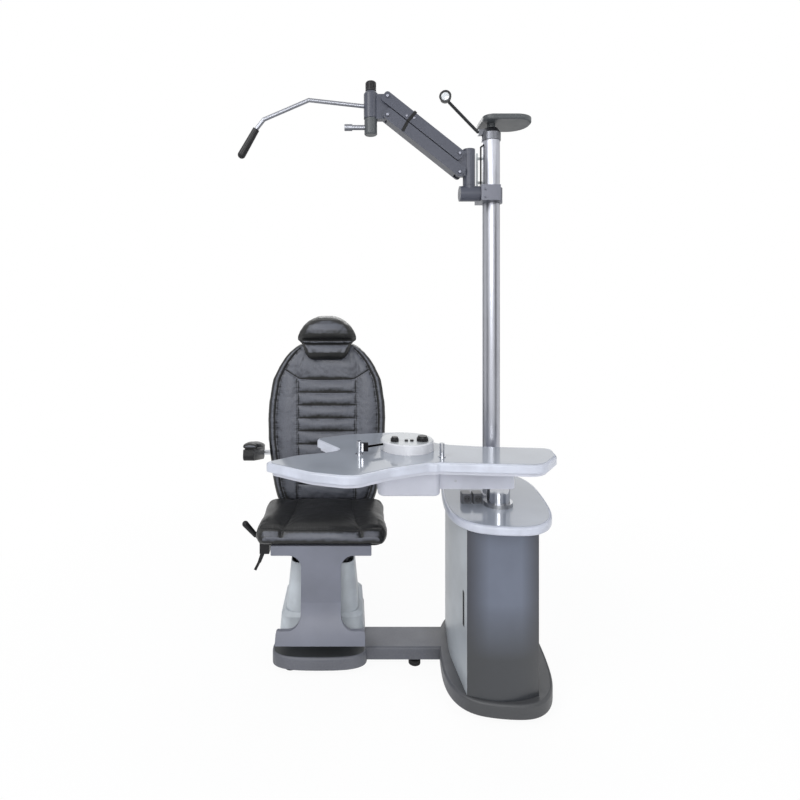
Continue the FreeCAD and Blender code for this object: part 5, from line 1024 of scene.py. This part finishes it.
BACK_ORIGIN = JOINT_PLACES["backrest_recline"]
BACK_LEAN = math.radians(9.0)
BACK_FRONT = Vector((0.0, -math.cos(BACK_LEAN), math.sin(BACK_LEAN)))
BACK_HEIGHT = 0.730
BACK_BOTTOM = -0.006
BACK_HALF = 0.269
BACK_REST_DEPTH = -0.008
BACK_REST_BLEND = 0.006
HEIGHT_SHARES = (0.0, 0.03, 0.12, 0.395, 0.527, 0.622, 0.764, 0.877, 0.953, 0.986, 1.0)
WIDTH_SHARES = (0.66, 0.8, 0.88, 0.985, 1.0, 0.99, 0.935, 0.79, 0.62, 0.51, 0.42)

RIM = 0.036
RIM_TOP = 0.699
SEAM_START = BACK_BOTTOM + 0.02
YOKE = 0.549
YOKE_HALF = 0.196
YOKE_LEVEL_HALF = 0.125
YOKE_SAG = 0.003
YOKE_SLOPE = 0.55
SIDE_SEAM_HALF = 0.126
SIDE_SEAM_SPREAD = 0.010
SIDE_SEAM_OVERRUN = 0.004
CHANNELS = 8
CHANNEL_PITCH = 0.058
CHANNEL_GAP = 0.002
CHANNEL_SAG = 0.0015
CHANNEL_BEND_SHARE = 0.4


def from_back(points):
    """Row frame to the backrest's leaning frame, for an array of points."""
    moved = np.asarray(points, float) - np.array(BACK_ORIGIN)
    y = moved[:, 1] * math.cos(BACK_LEAN) - moved[:, 2] * math.sin(BACK_LEAN)
    z = moved[:, 1] * math.sin(BACK_LEAN) + moved[:, 2] * math.cos(BACK_LEAN)
    return np.stack([moved[:, 0], y, z], 1)


def back_row(spot):
    """A spot on the shell's plane, as x and height, in the row frame."""
    rise = Vector((0.0, math.sin(BACK_LEAN), math.cos(BACK_LEAN)))
    return BACK_ORIGIN + Vector((spot.x, 0.0, 0.0)) + rise * spot.y


def back_plane(points):
    return from_back(points)[:, [0, 2]]


def back_facing(normal):
    return normal @ np.array(BACK_FRONT)


def back_resting(points):
    return np.clip((from_back(points)[:, 1] - BACK_REST_DEPTH) / BACK_REST_BLEND, 0.0, 1.0)


def back_half(v):
    share = (v - BACK_BOTTOM) / BACK_HEIGHT
    return BACK_HALF * float(np.interp(share, HEIGHT_SHARES, WIDTH_SHARES))


def seam_half(v):
    return SIDE_SEAM_HALF + SIDE_SEAM_SPREAD * (v - BACK_BOTTOM) / (YOKE - BACK_BOTTOM)


def rim_line():
    return [(back_half(v) - RIM, v) for v in np.linspace(SEAM_START, RIM_TOP, RIM_POINTS)]


def side_seam():
    top = YOKE + SIDE_SEAM_OVERRUN
    return [(seam_half(v), v) for v in np.linspace(SEAM_START, top, SIDE_POINTS)]


def yoke_line():
    """The seam across the shoulders: nearly level between the side seams, then rising outwards."""
    line = []
    for x in np.linspace(-YOKE_HALF, YOKE_HALF, LINE_POINTS):
        sag = YOKE_SAG * (abs(x) / YOKE_LEVEL_HALF) ** 2
        line.append((float(x), YOKE + sag + YOKE_SLOPE * max(0.0, abs(x) - YOKE_LEVEL_HALF)))
    return line


def channel_lines():
    """The level seams between the sewn channels, each sagging a little in its middle."""
    lines = []
    for n in range(1, CHANNELS + 1):
        v = YOKE - n * CHANNEL_PITCH
        half = seam_half(v) - CHANNEL_GAP
        bend = half * CHANNEL_BEND_SHARE
        lines.append([(-half, v), (-bend, v - CHANNEL_SAG), (bend, v - CHANNEL_SAG), (half, v)])
    return lines


def make_backrest():
    seams = [rim_line(), mirrored(rim_line()), side_seam(), mirrored(side_seam()), yoke_line()]
    cushion = stuffed("backrest_upholstery", "backrest_cushion", "backrest", seams + channel_lines(),
                      back_plane, back_facing, back_resting, voxel=0.005, inset=0.003, cap=0.008,
                      pressure=2.5, seam_depth=0.0028, seam_width=0.0045)
    dress(cushion, EXTRAS["back_leather"])
    rows = [offset_line(side_seam(), STITCH_OFFSET), offset_line(mirrored(side_seam()), -STITCH_OFFSET),
            offset_line(yoke_line(), STITCH_OFFSET), offset_line(yoke_line(), -STITCH_OFFSET)]
    stitches("backrest_stitching", cushion, rows, back_row, BACK_FRONT, "backrest")


# The seat, with its seams as x and y

SEAT_SIDE = ((0.116, 0.160), (0.118, 0.0), (0.129, -0.12), (0.147, -0.178), (0.150, -0.189))
SEAT_CROSS_Y = -0.176
SEAT_CROSS_HALF = 0.225
SEAT_CROSS_BOW = 0.010
SEAT_BOW_HALF = 0.2
SEAT_REST_LEVEL = 0.4535
SEAT_REST_BLEND = 0.005
SEAT_ROW_LEVEL = 0.5


def seat_cross():
    """The seam along the seat's front, bowed back at both sides."""
    return [(x, SEAT_CROSS_Y + SEAT_CROSS_BOW * (abs(x) / SEAT_BOW_HALF) ** 2)
            for x in np.linspace(-SEAT_CROSS_HALF, SEAT_CROSS_HALF, LINE_POINTS)]


def top_plane(points):
    return points[:, :2]


def seat_facing(normal):
    return normal[:, 2]


def seat_resting(points):
    return np.clip((SEAT_REST_LEVEL - points[:, 2]) / SEAT_REST_BLEND, 0.0, 1.0)


def seat_row(spot):
    return Vector((spot.x, spot.y, SEAT_ROW_LEVEL))


def make_seat():
    seams = [SEAT_SIDE, mirrored(SEAT_SIDE), seat_cross()]
    cushion = stuffed("seat_upholstery", "seat_cushion", "seat", seams, top_plane, seat_facing,
                      seat_resting, voxel=0.005, inset=0.004, cap=0.012, pressure=4.0)
    rows = []
    for by in (STITCH_OFFSET, -STITCH_OFFSET):
        rows += [offset_line(SEAT_SIDE, by), offset_line(seat_cross(), by),
                 mirrored(offset_line(SEAT_SIDE, by))]
    stitches("seat_stitching", cushion, rows, seat_row, UP, "seat")


# The headrest, in the backrest's leaning frame

HEADREST_CREASE = ((-0.128, 0.7265), (-0.06, 0.724), (0.06, 0.724), (0.128, 0.7265))
HEADREST_REST_DEPTH = -0.0735
HEADREST_REST_BLEND = 0.004
HEADREST_REST_TOP = 0.722


def headrest_resting(points):
    """High on the low back part, where the headrest lies on the backrest's top."""
    local = from_back(points)
    deep = np.clip((local[:, 1] - HEADREST_REST_DEPTH) / HEADREST_REST_BLEND, 0.0, 1.0)
    return deep * (local[:, 2] < HEADREST_REST_TOP)


def make_headrest():
    cushion = stuffed("headrest_upholstery", "headrest_cushion", "headrest", [HEADREST_CREASE],
                      back_plane, back_facing, headrest_resting, voxel=0.004, inset=0.003, cap=0.008,
                      pressure=4.0, seam_depth=0.007, seam_width=0.008)


# The armrests, tilted about their pivot line

ARM_PIVOT = JOINT_PLACES["armrest_left_flip"]
ARM_TILT = math.radians(14.0)
PAD_PLATE_LEVEL = 0.6804
PAD_REST_HEIGHT = 0.004
PAD_REST_BLEND = 0.003


def pad_facing(normal):
    return normal[:, 1] * math.sin(ARM_TILT) + normal[:, 2] * math.cos(ARM_TILT)


def pad_resting(points):
    """High on the part of a pad that lies on its plate."""
    y, z = points[:, 1] - ARM_PIVOT.y, points[:, 2] - ARM_PIVOT.z
    over_plate = y * math.sin(ARM_TILT) + z * math.cos(ARM_TILT) - (PAD_PLATE_LEVEL - ARM_PIVOT.z)
    return np.clip((PAD_REST_HEIGHT - over_plate) / PAD_REST_BLEND, 0.0, 1.0)


def make_pads():
    for side in ("left", "right"):
        pad = stuffed("armrest_padding_" + side, "armrest_pad_" + side, "armrest_" + side, [], top_plane,
                      pad_facing, pad_resting, voxel=0.004, inset=0.001, cap=0.004, pressure=3.0)


# Small fittings. A screw's or a cap's size is its radius and height

PIN_CAP = (0.0050, 0.0024)
LINK_SCREW = (0.0040, 0.0018)
COVER_SCREW = (0.0042, 0.0014)
CABINET_SCREW = (0.0042, 0.0016)
CABINET_SCREW_X = (0.520, 0.702)
CABINET_SCREW_Z = (0.10, 0.34, 0.59)
# Places on a front face, as x and z
LINK_SCREW_PLACES = ((0.3097, 2.0193), (0.3365, 2.0115))
COVER_SCREW_PLACE = (0.468, 0.753)
SLOT_ENDS = {"upper": ((0.3425, 2.034), (0.3135, 2.0)), "lower": ((0.3125, 1.9985), (0.295, 1.965))}
SLOT_WIDTH = 0.0115
SLOT_DEPTH = 0.0008

GUIDE_X = (0.5695, 0.577)
GUIDE_Y = (-0.231, -0.228)
GUIDE_Z = (1.776, 1.905)
GUIDE_FOOT_X = (0.575, 0.598)
GUIDE_FOOT_Y = (-0.231, -0.2285)
GUIDE_FOOT_LEVELS = (1.792, 1.880)
GUIDE_FOOT_HEIGHT = 0.010

LENS_TURN = math.radians(12.0)
LENS_REACH = 0.0326
LENS_RADIUS = 0.0138
LENS_THICK = 0.0008

# The round faces of the outlets, turned from radius and height
OUTLET_X = (0.5205, 0.5595)
OUTLET_Z = 0.669
OUTLET_PROFILE = ((0.0, 0.0), (0.0125, 0.0), (0.0125, 0.0016), (0.0112, 0.0022), (0.0100, 0.0016),
                  (0.0098, 0.0004), (0.0, 0.0004))
HOLE_PROFILE = ((0.0, 0.0), (0.0021, 0.0), (0.0021, 0.0007), (0.0, 0.0007))
HOLE_OFFSET = 0.0045
HOLE_RISE = 0.0002

TIP_ENDS = ((-0.2706, 0.2780), (-0.2900, 0.2400))
TIP_WIDTH = 0.0112
TIP_DEPTH = 0.0060
TIP_FACE_Y = 0.0550


def make_pin_caps():
    """Pale caps on the four pins of the arm's parallelogram."""
    low_pin, high_pin = JOINT_PLACES["arm_lift"], JOINT_PLACES["arm_lift_upper"]
    head_pin = JOINT_PLACES["arm_head_level"]
    pins = {"hub": (low_pin, high_pin), "head": (head_pin, head_pin + high_pin - low_pin)}
    for end, (low, high) in pins.items():
        face = front_face("arm_" + end)
        places = [(low.x, face, low.z), (high.x, face, high.z)]
        screws(end + "_pin_caps", places, FRONT, PIN_CAP, "arm_" + end, EXTRAS["cap_grey"])


def make_link_fittings():
    """The dark slot across the links, with its two screws."""
    for link, ends in SLOT_ENDS.items():
        mesh = strip(ends, SLOT_WIDTH, SLOT_DEPTH, front_face("arm_%s_link" % link))
        add_object("link_slot_" + link, mesh, link + "_link", EXTRAS["slot_black"])
    face = front_face("arm_upper_link")
    places = [(x, face, z) for x, z in LINK_SCREW_PLACES]
    screws("link_screws", places, FRONT, LINK_SCREW, "upper_link", EXTRAS["cap_grey"])


def make_cable_guide():
    """The pale strip beside the column, on two feet."""
    blocks = [block(*zip(GUIDE_X, GUIDE_Y, GUIDE_Z))]
    for level in GUIDE_FOOT_LEVELS:
        foot_z = (level, level + GUIDE_FOOT_HEIGHT)
        blocks.append(block(*zip(GUIDE_FOOT_X, GUIDE_FOOT_Y, foot_z), FINE_EDGE))
    add_object("cable_guide", joined("cable_guide", blocks), "stand", EXTRAS["strip_pale"])


def make_lamp_face():
    """The bright glass in the lamp's mouth, inside its black ring."""
    side = math.sin(LENS_TURN)
    facing = Vector((-side, -math.cos(LENS_TURN), -side / 2)).normalized()
    disc("lamp_glass", JOINT_PLACES["lamp_tilt"] + facing * LENS_REACH, facing, LENS_RADIUS, LENS_THICK,
         "lamp_head", EXTRAS["lens"])


def make_cover_screw():
    """The screw of the table arm's cover."""
    place = surface_point("table_arm_housing", *COVER_SCREW_PLACE, FRONT)
    screws("arm_cover_screw", [place], FRONT, COVER_SCREW, "table_lift", EXTRAS["cap_pale"])


def make_outlet_faces():
    """The outlets' round faces, each with two holes."""
    face_y = front_face("socket_block")
    for number, x in enumerate(OUTLET_X):
        face = place_mesh(turned(OUTLET_PROFILE, OUTLET_SEGMENTS), (x, face_y, OUTLET_Z), FRONT)
        smooth(face, DISC_SHARP)
        holes = []
        for offset in (-HOLE_OFFSET, HOLE_OFFSET):
            at = (x + offset, face_y - HOLE_RISE, OUTLET_Z)
            holes.append(place_mesh(turned(HOLE_PROFILE, HOLE_SEGMENTS), at, FRONT))
        add_object("outlet_face_%d" % number, face, "stand", EXTRAS["outlet"])
        add_object("outlet_holes_%d" % number, joined("outlet_holes", holes), "stand", EXTRAS["slot_black"])


def make_cabinet_screws():
    """The screws round the cabinet's rear panel."""
    places = [surface_point("console_cabinet", x, z, BACK) for x in CABINET_SCREW_X for z in CABINET_SCREW_Z]
    screws("cabinet_screws", places, BACK, CABINET_SCREW, "stand", EXTRAS["cap_pale"])


def make_lever_tip():
    """The rubber tip of the seat lock lever's paddle."""
    tip = strip(TIP_ENDS, TIP_WIDTH, TIP_DEPTH, TIP_FACE_Y)
    add_object("lock_lever_tip", tip, "lock_lever", FINISHES["black_plastic"])


# All pieces

for name, obj in nodes.items():
    dress(obj, EXTRAS[NODE_EXTRAS[name]] if name in NODE_EXTRAS else FINISHES[NODE_SLOTS[name]])
    smooth(obj.data, NODE_SHARP)

make_backrest()
make_seat()
make_headrest()
make_pads()
make_pin_caps()
make_link_fittings()
make_cable_guide()
make_lamp_face()
make_cover_screw()
make_outlet_faces()
make_cabinet_screws()
make_lever_tip()
